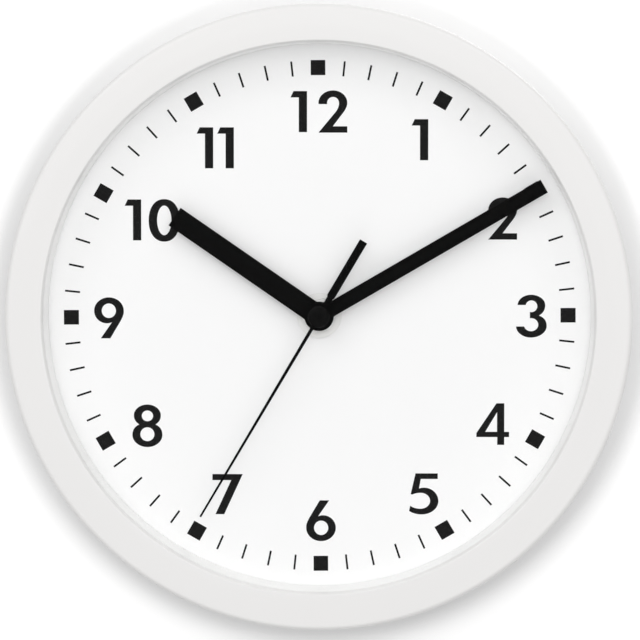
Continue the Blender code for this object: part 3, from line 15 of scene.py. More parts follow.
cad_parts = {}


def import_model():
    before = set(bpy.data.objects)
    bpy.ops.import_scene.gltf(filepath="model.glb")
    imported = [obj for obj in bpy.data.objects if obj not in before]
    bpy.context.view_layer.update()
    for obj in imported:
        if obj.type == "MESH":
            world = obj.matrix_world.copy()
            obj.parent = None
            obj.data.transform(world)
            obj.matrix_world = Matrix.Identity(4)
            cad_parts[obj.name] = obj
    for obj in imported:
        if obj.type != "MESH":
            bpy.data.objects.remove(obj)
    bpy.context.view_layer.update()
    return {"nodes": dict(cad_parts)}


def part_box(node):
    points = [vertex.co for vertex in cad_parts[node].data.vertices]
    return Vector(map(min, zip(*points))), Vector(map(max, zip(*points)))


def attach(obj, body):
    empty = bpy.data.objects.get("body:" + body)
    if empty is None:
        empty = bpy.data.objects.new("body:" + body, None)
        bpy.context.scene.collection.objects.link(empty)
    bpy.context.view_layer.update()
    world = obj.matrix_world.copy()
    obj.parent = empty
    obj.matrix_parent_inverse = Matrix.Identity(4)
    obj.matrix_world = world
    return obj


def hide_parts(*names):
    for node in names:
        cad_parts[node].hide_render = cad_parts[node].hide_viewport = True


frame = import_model()

MM = 0.001


# Movement case
# A tray and its lid, injection moulded in black ABS from spark-eroded tools and screwed together. The tray
# also holds the open battery bay, and its threaded bush goes through the dial.
def linear(hex_colour):
    """An sRGB hex colour as linear RGBA: v / 12.92 below 0.04045, ((v + 0.055) / 1.055) ^ 2.4 above it."""
    value = np.array([int(hex_colour[i:i + 2], 16) for i in (1, 3, 5)]) / 255
    value = np.where(value <= 0.04045, value / 12.92, ((value + 0.055) / 1.055) ** 2.4)
    return (*value.tolist(), 1.0)


def start_material(name):
    """A new material, its node tree and the Principled shader in it."""
    material = bpy.data.materials.new(name)
    material.use_nodes = True
    return material, material.node_tree, material.node_tree.nodes["Principled BSDF"]


def add(tree, kind, settings=None, **links):
    """A node of that kind: settings go to its properties or sockets, and links join outputs to its sockets.

    A socket is named with _ for a space, or by i and its number.
    """
    node = tree.nodes.new(kind)

    def socket(name):
        return node.inputs[int(name[1:])] if name[1:].isdigit() else node.inputs[name.replace("_", " ")]

    for name, value in (settings or {}).items():
        if hasattr(node, name):
            setattr(node, name, value)
        else:
            socket(name).default_value = value
    for name, output in links.items():
        tree.links.new(output, socket(name))
    return node


# a moulding's tone and gloss change slowly over patches of this width, its gloss by this share
PATCH, GLOSS_CHANGE, PLASTIC_IOR = 35 * MM, 0.08, 1.53


def moulded(name, colour, roughness, grain, depth, mottle=0.96):
    """A moulded plastic: its tool's grain, of that size and depth, and a slow fall of tone to the mottle."""
    material, tree, shader = start_material(name)
    place = add(tree, "ShaderNodeTexCoord").outputs["Object"]
    tone = add(tree, "ShaderNodeTexNoise", {"Scale": 1 / PATCH, "Detail": 2.0}, Vector=place)
    full = linear(colour)
    dull = tuple(mottle * channel for channel in full[:3]) + (1.0,)
    mixed = add(tree, "ShaderNodeMix", {"data_type": "RGBA", "i6": dull, "i7": full}, i0=tone.outputs["Fac"])
    tree.links.new(mixed.outputs[2], shader.inputs["Base Color"])
    rough = add(
        tree, "ShaderNodeMapRange",
        {"i3": roughness * (1 - GLOSS_CHANGE), "i4": roughness * (1 + GLOSS_CHANGE)},
        Value=tone.outputs["Fac"],
    )
    tree.links.new(rough.outputs["Result"], shader.inputs["Roughness"])
    fine = add(tree, "ShaderNodeTexNoise", {"Scale": 1 / grain, "Detail": 3.0}, Vector=place)
    bump = add(tree, "ShaderNodeBump", {"Distance": depth}, Height=fine.outputs["Fac"])
    tree.links.new(bump.outputs["Normal"], shader.inputs["Normal"])
    shader.inputs["IOR"].default_value = PLASTIC_IOR
    return material, tree, shader


def dress(material, *names):
    """Give carried-over CAD nodes that material."""
    for name in names:
        mesh = frame["nodes"][name].data
        mesh.materials.clear()
        mesh.materials.append(material)


# Spark erosion leaves an even matt grain of half a millimetre, so that the black doesn't shine. The corners'
# small radius shows as a soft line of light
CASE_CORNER = 0.4 * MM
black_abs, tree, _ = moulded("moulded ABS, black", "#202021", 0.50, 0.5 * MM, 0.02 * MM, 0.85)
softened = add(tree, "ShaderNodeBevel", {"samples": 4, "Radius": CASE_CORNER})
tree.links.new(softened.outputs["Normal"], tree.nodes["Bump"].inputs["Normal"])
dress(black_abs, "movement_front_case", "movement_rear_case")


# Trains and train plate
# Each wheel is moulded in one with its arbor from natural acetal, which runs without oil. The plate that
# carries the rear pivots is acetal too.
acetal, _, acetal_shader = moulded("moulded acetal, natural", "#e6e0cf", 0.42, 0.3 * MM, 0.004 * MM)
# Light goes about a millimetre into it, which softens the wheels' shadows
acetal_shader.inputs["Subsurface Weight"].default_value = 0.25
acetal_shader.inputs["Subsurface Radius"].default_value = (1.0, 0.8, 0.6)
acetal_shader.inputs["Subsurface Scale"].default_value = 1.0 * MM
dress(
    acetal, "train_plate", "seconds_wheel", "seconds_intermediate_wheel", "minute_wheel", "third_wheel",
    "minutes_intermediate_wheel", "motion_wheel", "hour_wheel",
)


# Motors, antenna and board
# Two stepping motors, each a magnet on its pinion, a stamped stator and a coil on a core, and a ferrite rod
# with a coil. A glass-fibre board carries the chip, two crystals, a capacitor and three switches.
LINE_CHANGE = 0.2  # in gloss, as a share, across a metal's fine lines


def metal(name, colour, roughness, lines, depth, along="X"):
    """A drawn, stamped or wound metal: fine lines across that axis, at that spacing, as bump and gloss.

    The wave texture's lines lie 2 pi / (20 x its scale) apart.
    """
    material, tree, shader = start_material(name)
    place = add(tree, "ShaderNodeTexCoord").outputs["Object"]
    scale = 2 * math.pi / (20 * lines)
    waves = add(
        tree, "ShaderNodeTexWave",
        {"bands_direction": along, "Scale": scale, "Distortion": 1.5, "Detail": 2.0}, Vector=place,
    )
    rough = add(
        tree, "ShaderNodeMapRange",
        {"i3": roughness * (1 - LINE_CHANGE), "i4": roughness * (1 + LINE_CHANGE)},
        Value=waves.outputs["Fac"],
    )
    tree.links.new(rough.outputs["Result"], shader.inputs["Roughness"])
    bump = add(tree, "ShaderNodeBump", {"Distance": depth}, Height=waves.outputs["Fac"])
    tree.links.new(bump.outputs["Normal"], shader.inputs["Normal"])
    shader.inputs["Base Color"].default_value = linear(colour)
    shader.inputs["Metallic"].default_value = 1.0
    return material


# Rolled sheet keeps faint lines along its length
rolled_iron = metal("rolled transformer iron", "#b9bab9", 0.32, 0.4 * MM, 0.002 * MM, "Z")
dress(
    rolled_iron, "seconds_stator", "minutes_stator", "seconds_core", "minutes_core", "reset_switch",
    "receive_switch", "set_switch", "time_crystal", "tuning_crystal",
)
# Turns of 0.1 mm wire are too fine to show, so they are drawn 0.3 mm apart
coil_wire = metal("enamelled copper wire, wound", "#b5673a", 0.34, 0.3 * MM, 0.05 * MM, "Z")
dress(coil_wire, "seconds_coil", "minutes_coil")
antenna_wire = metal("enamelled copper wire, wound on the rod", "#b5673a", 0.34, 0.3 * MM, 0.05 * MM, "X")
dress(antenna_wire, "antenna_coil")
# Pressed and sintered from powder: dull, even and almost black
ferrite, _, _ = moulded("sintered ferrite", "#3b3b3d", 0.62, 0.2 * MM, 0.01 * MM, 0.85)
dress(ferrite, "ferrite_rod", "seconds_rotor", "minutes_rotor")
# The mask is a thin lacquer over woven glass, whose threads show as a slight unevenness
solder_mask, _, _ = moulded(
    "glass-fibre board, green solder mask", "#1f6a37", 0.38, 0.6 * MM, 0.01 * MM, 0.80
)
dress(solder_mask, "circuit_board")
# Filled epoxy comes out of its mould finely matt
epoxy, _, _ = moulded("moulded epoxy, black", "#26262a", 0.55, 0.15 * MM, 0.006 * MM, 0.90)
dress(epoxy, "receiver_chip")
# Shrunk by heat, the sleeve is smooth with slow waves
sleeve, _, _ = moulded("shrunk PVC sleeve, dark blue", "#22305c", 0.35, 2 * MM, 0.01 * MM, 0.90)
dress(sleeve, "smoothing_capacitor")
# Rubber takes the mould's grain and has no gloss
rubber, _, _ = moulded("moulded rubber, black", "#1a1a1a", 0.80, 0.3 * MM, 0.02 * MM, 0.85)
dress(rubber, "rubber_washer")


# Push-buttons
# Three grey ABS caps through holes in the lid, each with a rounded rim, that press the switches on the board.
dial_low, dial_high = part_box("dial_plate")
AXIS_Z = (dial_low.z + dial_high.z) / 2


def span(node):
    """A round node's radius, and how far its back and its front stand out from the wall."""
    low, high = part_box(node)
    return (high.x - low.x) / 2, -high.y, -low.y


def place_of(node):
    """The x and y of a node's middle in the drawing."""
    low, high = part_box(node)
    return (low.x + high.x) / 2, (low.z + high.z) / 2 - AXIS_Z


def world(x, y, out):
    """Drawing to world: x to the right and y up from the hands' axis, out from the wall to the viewer."""
    x, y, out = np.broadcast_arrays(x, y, out)
    return np.stack((x, -out, y + AXIS_Z), axis=-1)


# an edge that runs straight on, or doubles back, counts as this cosine
NEARLY_STRAIGHT = 0.999999


def rounded(corners, radii, steps=6):
    """Each corner of a closed outline gives way to an arc of its radius that touches the two edges beside it.

    The arc's centre lies r / sin(half the corner's angle) along the angle's bisector. Its points go from one
    touching radius to the other by the sines of the parts of the angle between them.
    """
    corners = np.asarray(corners, float)
    radii = np.broadcast_to(np.asarray(radii, float), len(corners))[:, None]
    back = np.roll(corners, 1, axis=0) - corners
    on = np.roll(corners, -1, axis=0) - corners
    back /= np.linalg.norm(back, axis=1, keepdims=True)
    on /= np.linalg.norm(on, axis=1, keepdims=True)
    cosine = (back * on).sum(axis=1, keepdims=True)
    half = np.arccos(np.clip(cosine, -NEARLY_STRAIGHT, NEARLY_STRAIGHT)) / 2
    middle = (back + on) / np.linalg.norm(back + on, axis=1, keepdims=True)
    centre = corners + middle * radii / np.sin(half)
    first = corners + back * radii / np.tan(half) - centre
    last = corners + on * radii / np.tan(half) - centre
    sweep = (math.pi - 2 * half)[:, None, :]
    part = np.linspace(0, 1, steps)[None, :, None]
    arcs = np.sin((1 - part) * sweep) * first[:, None] + np.sin(part * sweep) * last[:, None]
    return (centre[:, None] + arcs / np.sin(sweep)).reshape(-1, 2)


def turned(profile, steps, centre=(0.0, 0.0), along_x=False):
    """A grid of points: the (radius, height) profile carried round an axis, once for each of the steps.

    The axis stands out from the wall at the centre (x, y), or lies along x at the centre (y, out).
    """
    radius, height = np.asarray(profile).T[:, :, None]
    angle = np.linspace(0, 2 * math.pi, steps + 1)[None, :]
    across, up = radius * np.cos(angle), radius * np.sin(angle)
    if along_x:
        return world(height, centre[0] + across, centre[1] + up)
    return world(centre[0] + across, centre[1] + up, height)


def net(grid):
    """A grid of points as vertices and the quads between neighbours."""
    rows, columns = grid.shape[:2]
    number = np.arange(rows * columns).reshape(rows, columns)
    quads = np.stack((number[:-1, :-1], number[:-1, 1:], number[1:, 1:], number[1:, :-1]), axis=-1)
    return grid.reshape(-1, 3), quads.reshape(-1, 4).tolist()


# points nearer to each other than this are one point, and an edge that bends more than this stays sharp
MERGED, SHARP = 0.0005 * MM, math.radians(30)


def make(name, parts, material, body, slot, *nodes):
    """One object of closed shells: doubles merged, faces turned outwards, and fitted to its CAD body."""
    points, faces, count = [], [], 0
    for part_points, part_faces in parts:
        points.append(part_points)
        faces += [[i + count for i in face] for face in part_faces]
        count += len(part_points)
    mesh = bpy.data.meshes.new(name)
    mesh.from_pydata(np.concatenate(points).tolist(), [], faces)
    shell = bmesh.new()
    shell.from_mesh(mesh)
    bmesh.ops.remove_doubles(shell, verts=shell.verts, dist=MERGED)
    bmesh.ops.recalc_face_normals(shell, faces=shell.faces)
    shell.to_mesh(mesh)
    shell.free()
    mesh.materials.append(material)
    mesh.shade_smooth()
    mesh.set_sharp_from_angle(angle=SHARP)
    thing = bpy.data.objects.new(name, mesh)
    bpy.context.scene.collection.objects.link(thing)
    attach(thing, body)
    if nodes:
        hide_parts(*nodes)
    return thing


# A finer grain than the case's leaves the caps a soft sheen
grey_abs, _, _ = moulded("moulded ABS, grey", "#b7b7b6", 0.40, 0.4 * MM, 0.006 * MM)
BUTTON_RADIUS, BUTTON_ROUND, RIM, RIM_EDGE = 2.2 * MM, 0.5 * MM, 0.6 * MM, 0.1 * MM
for button in ("reset_button", "receive_button", "set_button"):
    radius, back, front = span(button)
    profile = rounded(
        [
            (0, back), (BUTTON_RADIUS, back), (BUTTON_RADIUS, front - RIM), (radius, front - RIM),
            (radius, front), (0, front),
        ],
        [0, BUTTON_ROUND, 0, RIM_EDGE, RIM_EDGE, 0],
    )
    cap = net(turned(profile, 48, place_of(button)))
    make(button + "_cap", [cap], grey_abs, button, "grey_plastic", button)


# Screws
# Zinc-plated self-tapping steel, cold headed with a cross recess: six hold the back cover, and four the
# movement's lid.

# the recess's depth, its walls' width at its sides and its ends, and its half width as a share of an arm
RECESS, RECESS_SIDE, RECESS_END, RECESS_HALF = 0.8 * MM, 0.12 * MM, 0.5 * MM, 0.24
# the dome's fall and how much shallower the recess is at the rim, both as shares
DOME_FALL, SHALLOWER = 0.55, 0.3
# the thread's pitch, its depth as a share of the radius, and the point's length
PITCH, THREAD_DEPTH, POINT = 0.8 * MM, 0.06, 1.5 * MM
# how far shells of one piece run into each other
OVERLAP = 0.2 * MM


def screw_head(centre, radius, height, seat, arm):
    """A domed head with a cross recess at its rear, and its flat underside.

    The dome falls from its crown by DOME_FALL x height x (r / radius) ^ 3. It is sunk by RECESS where the
    smaller of |x| and |y| is under RECESS_HALF x arm and r is under arm.
    """
    share = np.linspace(0, 1, 33)[:, None]
    angle = np.linspace(0, 2 * math.pi, 97)[None, :]
    across, up = radius * share * np.cos(angle), radius * share * np.sin(angle)
    narrow = np.minimum(np.abs(across), np.abs(up))
    side = np.clip((arm * RECESS_HALF - narrow) / RECESS_SIDE + 0.5, 0, 1)
    end = np.clip((arm - radius * share) / RECESS_END + 0.5, 0, 1)
    crown = height * (1 - DOME_FALL * share ** 3) - RECESS * side * end * (1 - SHALLOWER * share)
    head = world(centre[0] + across, centre[1] + up, seat - crown)
    under = turned([(radius, seat - (1 - DOME_FALL) * height), (radius, seat), (0, seat)], 96, centre)
    return [net(head), net(under)]


def steel_shank(centre, radius, start, end):
    """A threaded shank: its radius falls by up to THREAD_DEPTH in a zigzag, once a pitch, to a point."""
    out = np.linspace(start, end, 60)
    zigzag = 2 * np.abs(((out - start) / PITCH) % 1 - 0.5)
    radii = radius * (1 - THREAD_DEPTH * (1 - zigzag))
    radii = np.where(out > end - POINT, radii * (end - out) / POINT, radii)
    return net(turned(np.stack((np.append(0, radii), np.append(start, out)), axis=-1), 16, centre))


# Bright zinc over headed wire is smooth, and slightly blue
zinc = metal("zinc-plated steel, headed", "#aeb1b5", 0.30, 0.25 * MM, 0.002 * MM)
# how many there are, and in millimetres the head's height, the recess arms' length and the shank's radius
screws = (("case_screw", 6, 1.5, 1.7, 0.9), ("movement_screw", 4, 0.9, 1.2, 0.7))
for kind, count, head_height, arm, shank_radius in screws:
    for number in range(1, count + 1):
        name = f"{kind}_{number}"
        radius, back, front = span(name)
        seat = back + head_height * MM
        parts = screw_head(place_of(name), radius, head_height * MM, seat, arm * MM)
        parts.append(steel_shank(place_of(name), shank_radius * MM, seat - OVERLAP, front))
        make(name + "_cross_head", parts, zinc, "case", "screw_steel", name)


# Battery and its contacts
# One round cell in a printed sleeve, its plus end to the right, between two nickel-plated spring strips.

# Nickel over rolled strip is bright, warm and faintly lined
contact_strip = metal("nickel-plated spring strip", "#c4c2bb", 0.25, 0.3 * MM, 0.002 * MM, "Z")
dress(contact_strip, "battery_contact_positive", "battery_contact_negative")

low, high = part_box("battery")
cell_radius = (high.z - low.z) / 2
cell_axis = ((high.z + low.z) / 2 - AXIS_Z, -(high.y + low.y) / 2)
# the nub at the plus end, the flat at the minus end, the sleeve's rolled edge, and how deep the ends are sunk
NUB, NUB_RADIUS, FLAT_RADIUS, ROLL, MINUS_SUNK, PLUS_SUNK = np.array((1.2, 2.7, 4.9, 0.5, 0.25, 0.2)) * MM
sleeve_end = high.x - NUB
rolled_radius = cell_radius - ROLL
# from the flat minus end, over the sleeve's rolled edges, to the plus end's nub
cell_profile = rounded(
    [
        (0, low.x), (FLAT_RADIUS, low.x), (FLAT_RADIUS, low.x + MINUS_SUNK),
        (rolled_radius, low.x + MINUS_SUNK), (rolled_radius, low.x), (cell_radius, low.x),
        (cell_radius, sleeve_end), (rolled_radius, sleeve_end),
        (rolled_radius, sleeve_end - PLUS_SUNK), (NUB_RADIUS + ROLL, sleeve_end - PLUS_SUNK),
        (NUB_RADIUS, sleeve_end), (NUB_RADIUS, high.x), (0, high.x),
    ],
    np.array((0, 0.1, 0.1, 0.1, 0.2, 0.25, 0.3, 0.15, 0.1, 0.2, 0.2, 0.4, 0)) * MM,
)
# A printed film shrunk over the can: dark, with a lighter band at the plus end, and bare steel at both ends
cell_skin, tree, shader = moulded("printed shrink film", "#2b3138", 0.28, 3 * MM, 0.008 * MM, 0.85)
BAND, BARE_END = 11 * MM, 0.12 * MM
place = add(tree, "ShaderNodeTexCoord").outputs["Object"]
along = add(tree, "ShaderNodeSeparateXYZ", Vector=place).outputs["X"]
band = add(tree, "ShaderNodeMath", {"operation": "GREATER_THAN", "i1": sleeve_end - BAND}, i0=along)
sleeved = add(
    tree, "ShaderNodeMath",
    {"operation": "COMPARE", "i1": (low.x + sleeve_end) / 2, "i2": (sleeve_end - low.x) / 2 - BARE_END},
    i0=along,
)
dark = shader.inputs["Base Color"].links[0].from_socket
banded = add(
    tree, "ShaderNodeMix", {"data_type": "RGBA", "i7": linear("#c08a3c")}, i0=band.outputs["Value"], i6=dark
)
printed = add(
    tree, "ShaderNodeMix", {"data_type": "RGBA", "i6": linear("#c8c8c6")}, i0=sleeved.outputs["Value"],
    i7=banded.outputs[2],
)
tree.links.new(printed.outputs[2], shader.inputs["Base Color"])
steel = add(tree, "ShaderNodeMath", {"operation": "SUBTRACT", "i0": 1.0}, i1=sleeved.outputs["Value"])
tree.links.new(steel.outputs["Value"], shader.inputs["Metallic"])
make(
    "battery_cell", [net(turned(cell_profile, 96, cell_axis, along_x=True))], cell_skin, "battery",
    "battery_sleeve", "battery",
)


# Dial
# A flat disc of white styrene sheet, punched out, with the track of sixty marks and the twelve numbers screen
# printed on it in black.
dial_radius, dial_back, dial_front = span("dial_plate")
DIAL_HOLE = 4.4 * MM


def ring_of(radius, steps, centre=(0.0, 0.0), start=0.0):
    """Points round a circle."""
    angle = start + np.arange(steps) * 2 * math.pi / steps
    return np.stack((centre[0] + radius * np.cos(angle), centre[1] + radius * np.sin(angle)), axis=-1)


def plate(outlines, back, front, lay=world):
    """A flat sheet: the first outline less the others, from back to front, with walls along each outline.

    The function lay takes a point's x, y and out to its place.
    """
    flat = np.concatenate(outlines)
    count = len(flat)
    top = tessellate_polygon([[Vector((*point, 0.0)) for point in outline.tolist()] for outline in outlines])
    faces = [list(face) for face in top] + [[i + count for i in face] for face in top]
    start = 0
    for outline in outlines:
        ring = np.arange(start, start + len(outline))
        ahead = np.roll(ring, -1)
        faces += np.stack((ring, ahead, ahead + count, ring + count), axis=-1).tolist()
        start += len(outline)
    ends = [lay(flat[:, 0], flat[:, 1], out) for out in (back, front)]
    return np.concatenate(ends), faces


# Sheet calendered smooth, then matt from the print's clear coat
dial_styrene, _, _ = moulded(
    "styrene sheet, white, screen-printed", "#fbfbfb", 0.60, 0.6 * MM, 0.002 * MM, 0.99
)
make(
    "dial_disc", [plate([ring_of(dial_radius, 256), ring_of(DIAL_HOLE, 64)], dial_back, dial_front)],
    dial_styrene, "case", "dial_white", "dial_plate",
)

# the print's place on the disc and its slight turn, its drawing unit, and the ink's thickness
PRINT_SHIFT, PRINT_TURN, PRINT_SCALE, INK = (0.03, -0.34), math.radians(0.33), 0.9935 * MM, 0.03 * MM


def arc(centre, radii, first, last, steps=14):
    """Part of an ellipse, from the first angle to the last in degrees."""
    angle = np.radians(np.linspace(first, last, steps))
    return np.stack((centre[0] + radii[0] * np.cos(angle), centre[1] + radii[1] * np.sin(angle)), axis=-1)


def bend(start, control, end, steps=10):
    """A parabola that heads for the control point: (1 - t)^2 start + 2t(1 - t) control + t^2 end."""
    t = np.linspace(0, 1, steps)[:, None]
    return (1 - t) ** 2 * np.array(start) + 2 * t * (1 - t) * np.array(control) + t ** 2 * np.array(end)


def path(*pieces):
    """Points and curves joined in one outline."""
    return np.concatenate([np.atleast_2d(np.asarray(piece, float)) for piece in pieces])


# each figure's outlines in the print's unit, drawn with its left and lower edges at 0
one = [path((0, 14.25), (1.24, 16.85), (6.8, 16.85), (6.8, 0), (3.42, 0), (3.42, 14.25))]
two = [path(
    arc((5.99, 12.25), (5.99, 5.09), 186, 90), arc((5.99, 12.25), (5.86, 5.09), 90, 0)[1:],
    bend((11.85, 12.25), (11.85, 10.43), (10.2, 8.27))[1:], (5.9, 2.6), (11.85, 2.6), (11.85, 0), (0, 0),
    bend((7.0, 8.44), (8.45, 10.19), (8.45, 12.25)), arc((5.99, 12.25), (2.46, 2.41), 0, 193)[1:],
)]
three = [path(
    arc((6.17, 13.36), (5.51, 4.29), 179, 90), arc((6.17, 13.36), (5.85, 4.29), 90, 0)[1:],
    bend((12.02, 13.36), (12.02, 10.55), (9.41, 9.06))[1:],
    bend((9.41, 9.06), (12.63, 8.0), (12.63, 4.81))[1:], arc((6.09, 4.81), (6.54, 4.81), 0, -90)[1:],
    arc((6.09, 4.81), (6.09, 4.81), -90, -177)[1:], arc((6.2, 5.31), (2.97, 2.69), 196, 459.7, 28),
    (5.7, 10.51), arc((6.32, 12.9), (2.42, 2.42), -105, 167.5, 28),
)]
four = [
    path(
        (0, 3.22), (0, 4.87), (8.26, 17.18), (11.48, 17.18), (11.48, 5.37), (13.46, 5.37), (13.46, 3.22),
        (11.48, 3.22), (11.48, 0), (8.59, 0), (8.59, 3.22),
    ),
    path((3.63, 5.37), (8.51, 5.37), (8.51, 13.5)),
]
five = [path(
    (2.64, 17.01), (11.81, 17.01), (11.81, 14.7), (4.83, 14.7), arc((6.2, 5.55), (5.9, 5.55), 111, 0),
    arc((5.2, 5.55), (6.9, 5.55), 0, -90)[1:], arc((5.2, 5.55), (7.83, 5.55), -90, -131.6)[1:],
    arc((4.75, 5.65), (5.45, 3.3), -142, -90), arc((4.75, 5.65), (3.92, 3.3), -90, 90, 24)[1:],
    arc((4.75, 5.65), (5.45, 3.3), 90, 129.3)[1:], (0.66, 8.42),
)]
six = [
    path(
        (5.62, 16.93), (9.54, 16.93), arc((7.0, 5.57), (5.26, 5.17), 113, 0),
        arc((6.15, 5.5), (6.11, 5.5), 0, -180, 28)[1:], bend((0.03, 5.99), (0, 7.48), (1.69, 10.32)),
    ),
    arc((6.2, 5.53), (2.93, 2.99), 0, 350, 36),
]
seven = [path((0, 16.64), (12.51, 16.64), (4.87, 0), (1.24, 0), (7.76, 14.12), (0, 14.12))]
right_of_eight = path(
    arc((6.2, 13.17), (5.57, 4.46), 90, 0), bend((11.77, 13.17), (11.77, 10.7), (9.54, 9.37))[1:],
    bend((9.54, 9.37), (12.39, 8.2), (12.39, 5.04))[1:], arc((6.2, 5.04), (6.19, 5.04), 0, -90)[1:],
)
eight = [
    path(right_of_eight, ((12.4, 0) + right_of_eight * (-1, 1))[-2:0:-1]),
    arc((6.23, 12.93), (2.33, 2.23), 0, 350, 36),
    arc((6.19, 5.33), (2.91, 2.87), 0, 350, 36),
]
nine = [(12.35, 16.97) - outline for outline in six]
# the nought's outside is an ellipse squared off a little: |x / a| ^ 2.2 + |y / b| ^ 2.2 = 1
turn = np.linspace(0, 2 * math.pi, 72, endpoint=False)[:, None]
way = np.concatenate((np.cos(turn), np.sin(turn)), axis=-1)
nought = [
    (6.4, 8.75) * (1 + np.sign(way) * np.abs(way) ** (2 / 2.2)),
    arc((6.4, 8.75), (2.95, 6.1), 0, 355, 60),
]
# each figure's left and lower edges from the print's middle
figures = (
    (one, -11.9, 75.8), (two, -0.4, 75.6), (one, 37.9, 64.3), (two, 69.4, 31.7), (three, 80.9, -8.65),
    (four, 64.7, -53.0), (five, 37.0, -81.9), (six, -5.5, -93.1), (seven, -44.2, -82.0),
    (eight, -77.25, -54.25), (nine, -93.0, -9.3), (one, -80.2, 31.2), (nought, -70.3, 30.7),
    (one, -50.5, 60.9), (one, -42.0, 60.9),
)
ink_back, ink_front = dial_front - INK, dial_front + INK
numbers = [
    plate([(outline + (left, lower) + PRINT_SHIFT) * PRINT_SCALE for outline in figure], ink_back, ink_front)
    for figure, left, lower in figures
]
# Screen-printed ink dries to a low sheen
ink, _, ink_shader = moulded("screen-printing ink, black", "#1c1c1c", 0.60, 0.4 * MM, 0.001 * MM, 0.92)
ink_shader.inputs["Specular IOR Level"].default_value = 0.06
make("dial_numbers", numbers, ink, "case", "black_paint")

# the marks in the print's unit: half the width of a square and of a line, and their two ends from the middle
HALF_SQUARE, HALF_LINE, MARK_FOOT, MARK_TOP = 3.0, 0.4, 99.2, 105.4


def mark(minute):
    """The mark for that minute: a square at every fifth, and a line at the others."""
    half = HALF_SQUARE if minute % 5 == 0 else HALF_LINE
    corners = np.array([(-half, MARK_FOOT), (half, MARK_FOOT), (half, MARK_TOP), (-half, MARK_TOP)])
    angle = PRINT_TURN - math.radians(6 * minute)
    turned_by = np.array([(math.cos(angle), math.sin(angle)), (-math.sin(angle), math.cos(angle))])
    return plate([(corners @ turned_by + PRINT_SHIFT) * PRINT_SCALE], ink_back, ink_front)


make("dial_track", [mark(minute) for minute in range(60)], ink, "case", "black_paint")


# Spacer ring, lens and bezel
# The channel-shaped ring keeps lens and dial apart and shows as the dial's white inner wall. The lens is cast
# acrylic. The bezel is injection moulded in white ABS, with six screw bosses on webs inside its shell.
lens_radius, lens_back, lens_front = span("lens")
spacer_radius, spacer_back, spacer_front = span("spacer_ring")
bezel_radius, _, crest = span("bezel")
# how far the lip covers the lens, and how much narrower the inner wall is at the dial than at the lens
COVERED, DRAFT = 3.6 * MM, 0.9 * MM
lip_radius = lens_radius - COVERED
wall_radius = lip_radius - DRAFT
# the inner wall's step behind the lip's edge and its thickness, and that of the ring's two flanges
WALL_STEP, RING_WALL, RING_FLANGE = 0.2 * MM, 1.7 * MM, 1.2 * MM
wall_front = lip_radius + WALL_STEP


def closed(profile):
    """The profile with its first point once more at its end."""
    return np.concatenate((profile, profile[:1]))


# A polished tool, with the faint orange peel of a thick wall, gives a satin white. The ring's is the brighter
white_abs, _, _ = moulded("moulded ABS, white", "#eeedec", 0.36, 1.2 * MM, 0.003 * MM, 0.99)
ring_abs, _, _ = moulded("moulded ABS, bright white", "#fafaf9", 0.45, 1.2 * MM, 0.003 * MM, 0.99)
spacer_profile = rounded(
    [
        (wall_front, spacer_front), (lens_radius, spacer_front), (lens_radius, spacer_front - RING_FLANGE),
        (wall_front + RING_WALL, spacer_front - RING_FLANGE),
        (wall_radius + RING_WALL, spacer_back + RING_FLANGE), (spacer_radius, spacer_back + RING_FLANGE),
        (spacer_radius, spacer_back), (wall_radius, spacer_back),
    ],
    np.array((0.3, 0.2, 0.2, 0.4, 0.4, 0.2, 0.2, 0.1)) * MM,
)
make(
    "dial_surround", [net(turned(closed(spacer_profile), 256))], ring_abs, "case", "white_plastic",
    "spacer_ring",
)

# Acrylic is clear: what it gives the eye is only its sheen, which grows towards grazing
acrylic, tree, shader = start_material("cast acrylic, clear")
sheen = add(tree, "ShaderNodeFresnel", {"IOR": 1.08})
tree.links.new(sheen.outputs["Fac"], shader.inputs["Alpha"])
shader.inputs["Base Color"].default_value = linear("#ffffff")
shader.inputs["Metallic"].default_value = 1.0
shader.inputs["Roughness"].default_value = 0.03
LENS_EDGE = 0.2 * MM
lens_profile = rounded(
    [(0, lens_back), (lens_radius, lens_back), (lens_radius, lens_front), (0, lens_front)],
    [0, LENS_EDGE, LENS_EDGE, 0],
)
make("clear_lens", [net(turned(lens_profile, 256))], acrylic, "case", "clear_lens", "lens")

REAR_TAPER, CORNER, BEZEL_WALL, LIP, RISE = 2.5 * MM, 2.2 * MM, 2.2 * MM, 0.7 * MM, 2.4 * MM
# the face's inner round and its fall to the corner, and the height of the side's upright part
INNER_ROUND, FALL, UPRIGHT = 1.2 * MM, 0.35 * MM, 6 * MM
# the rib round the lens: its play, width and depth. The shell's inside falls a little towards it
LENS_PLAY, RIB, RIB_DEPTH, INNER_FALL, INNER_CORNER = 0.5 * MM, 1.8 * MM, 5.4 * MM, 0.5 * MM, 0.6 * MM
lip_front = crest - RISE
lip_back = lip_front - LIP
corner_radius = bezel_radius - CORNER
corner_out = crest - FALL - CORNER
straight_out = corner_out - UPRIGHT
rear_radius = bezel_radius - REAR_TAPER
pocket_radius = lens_radius + LENS_PLAY
rib_end = lip_back - RIB_DEPTH
inner_top = crest - BEZEL_WALL
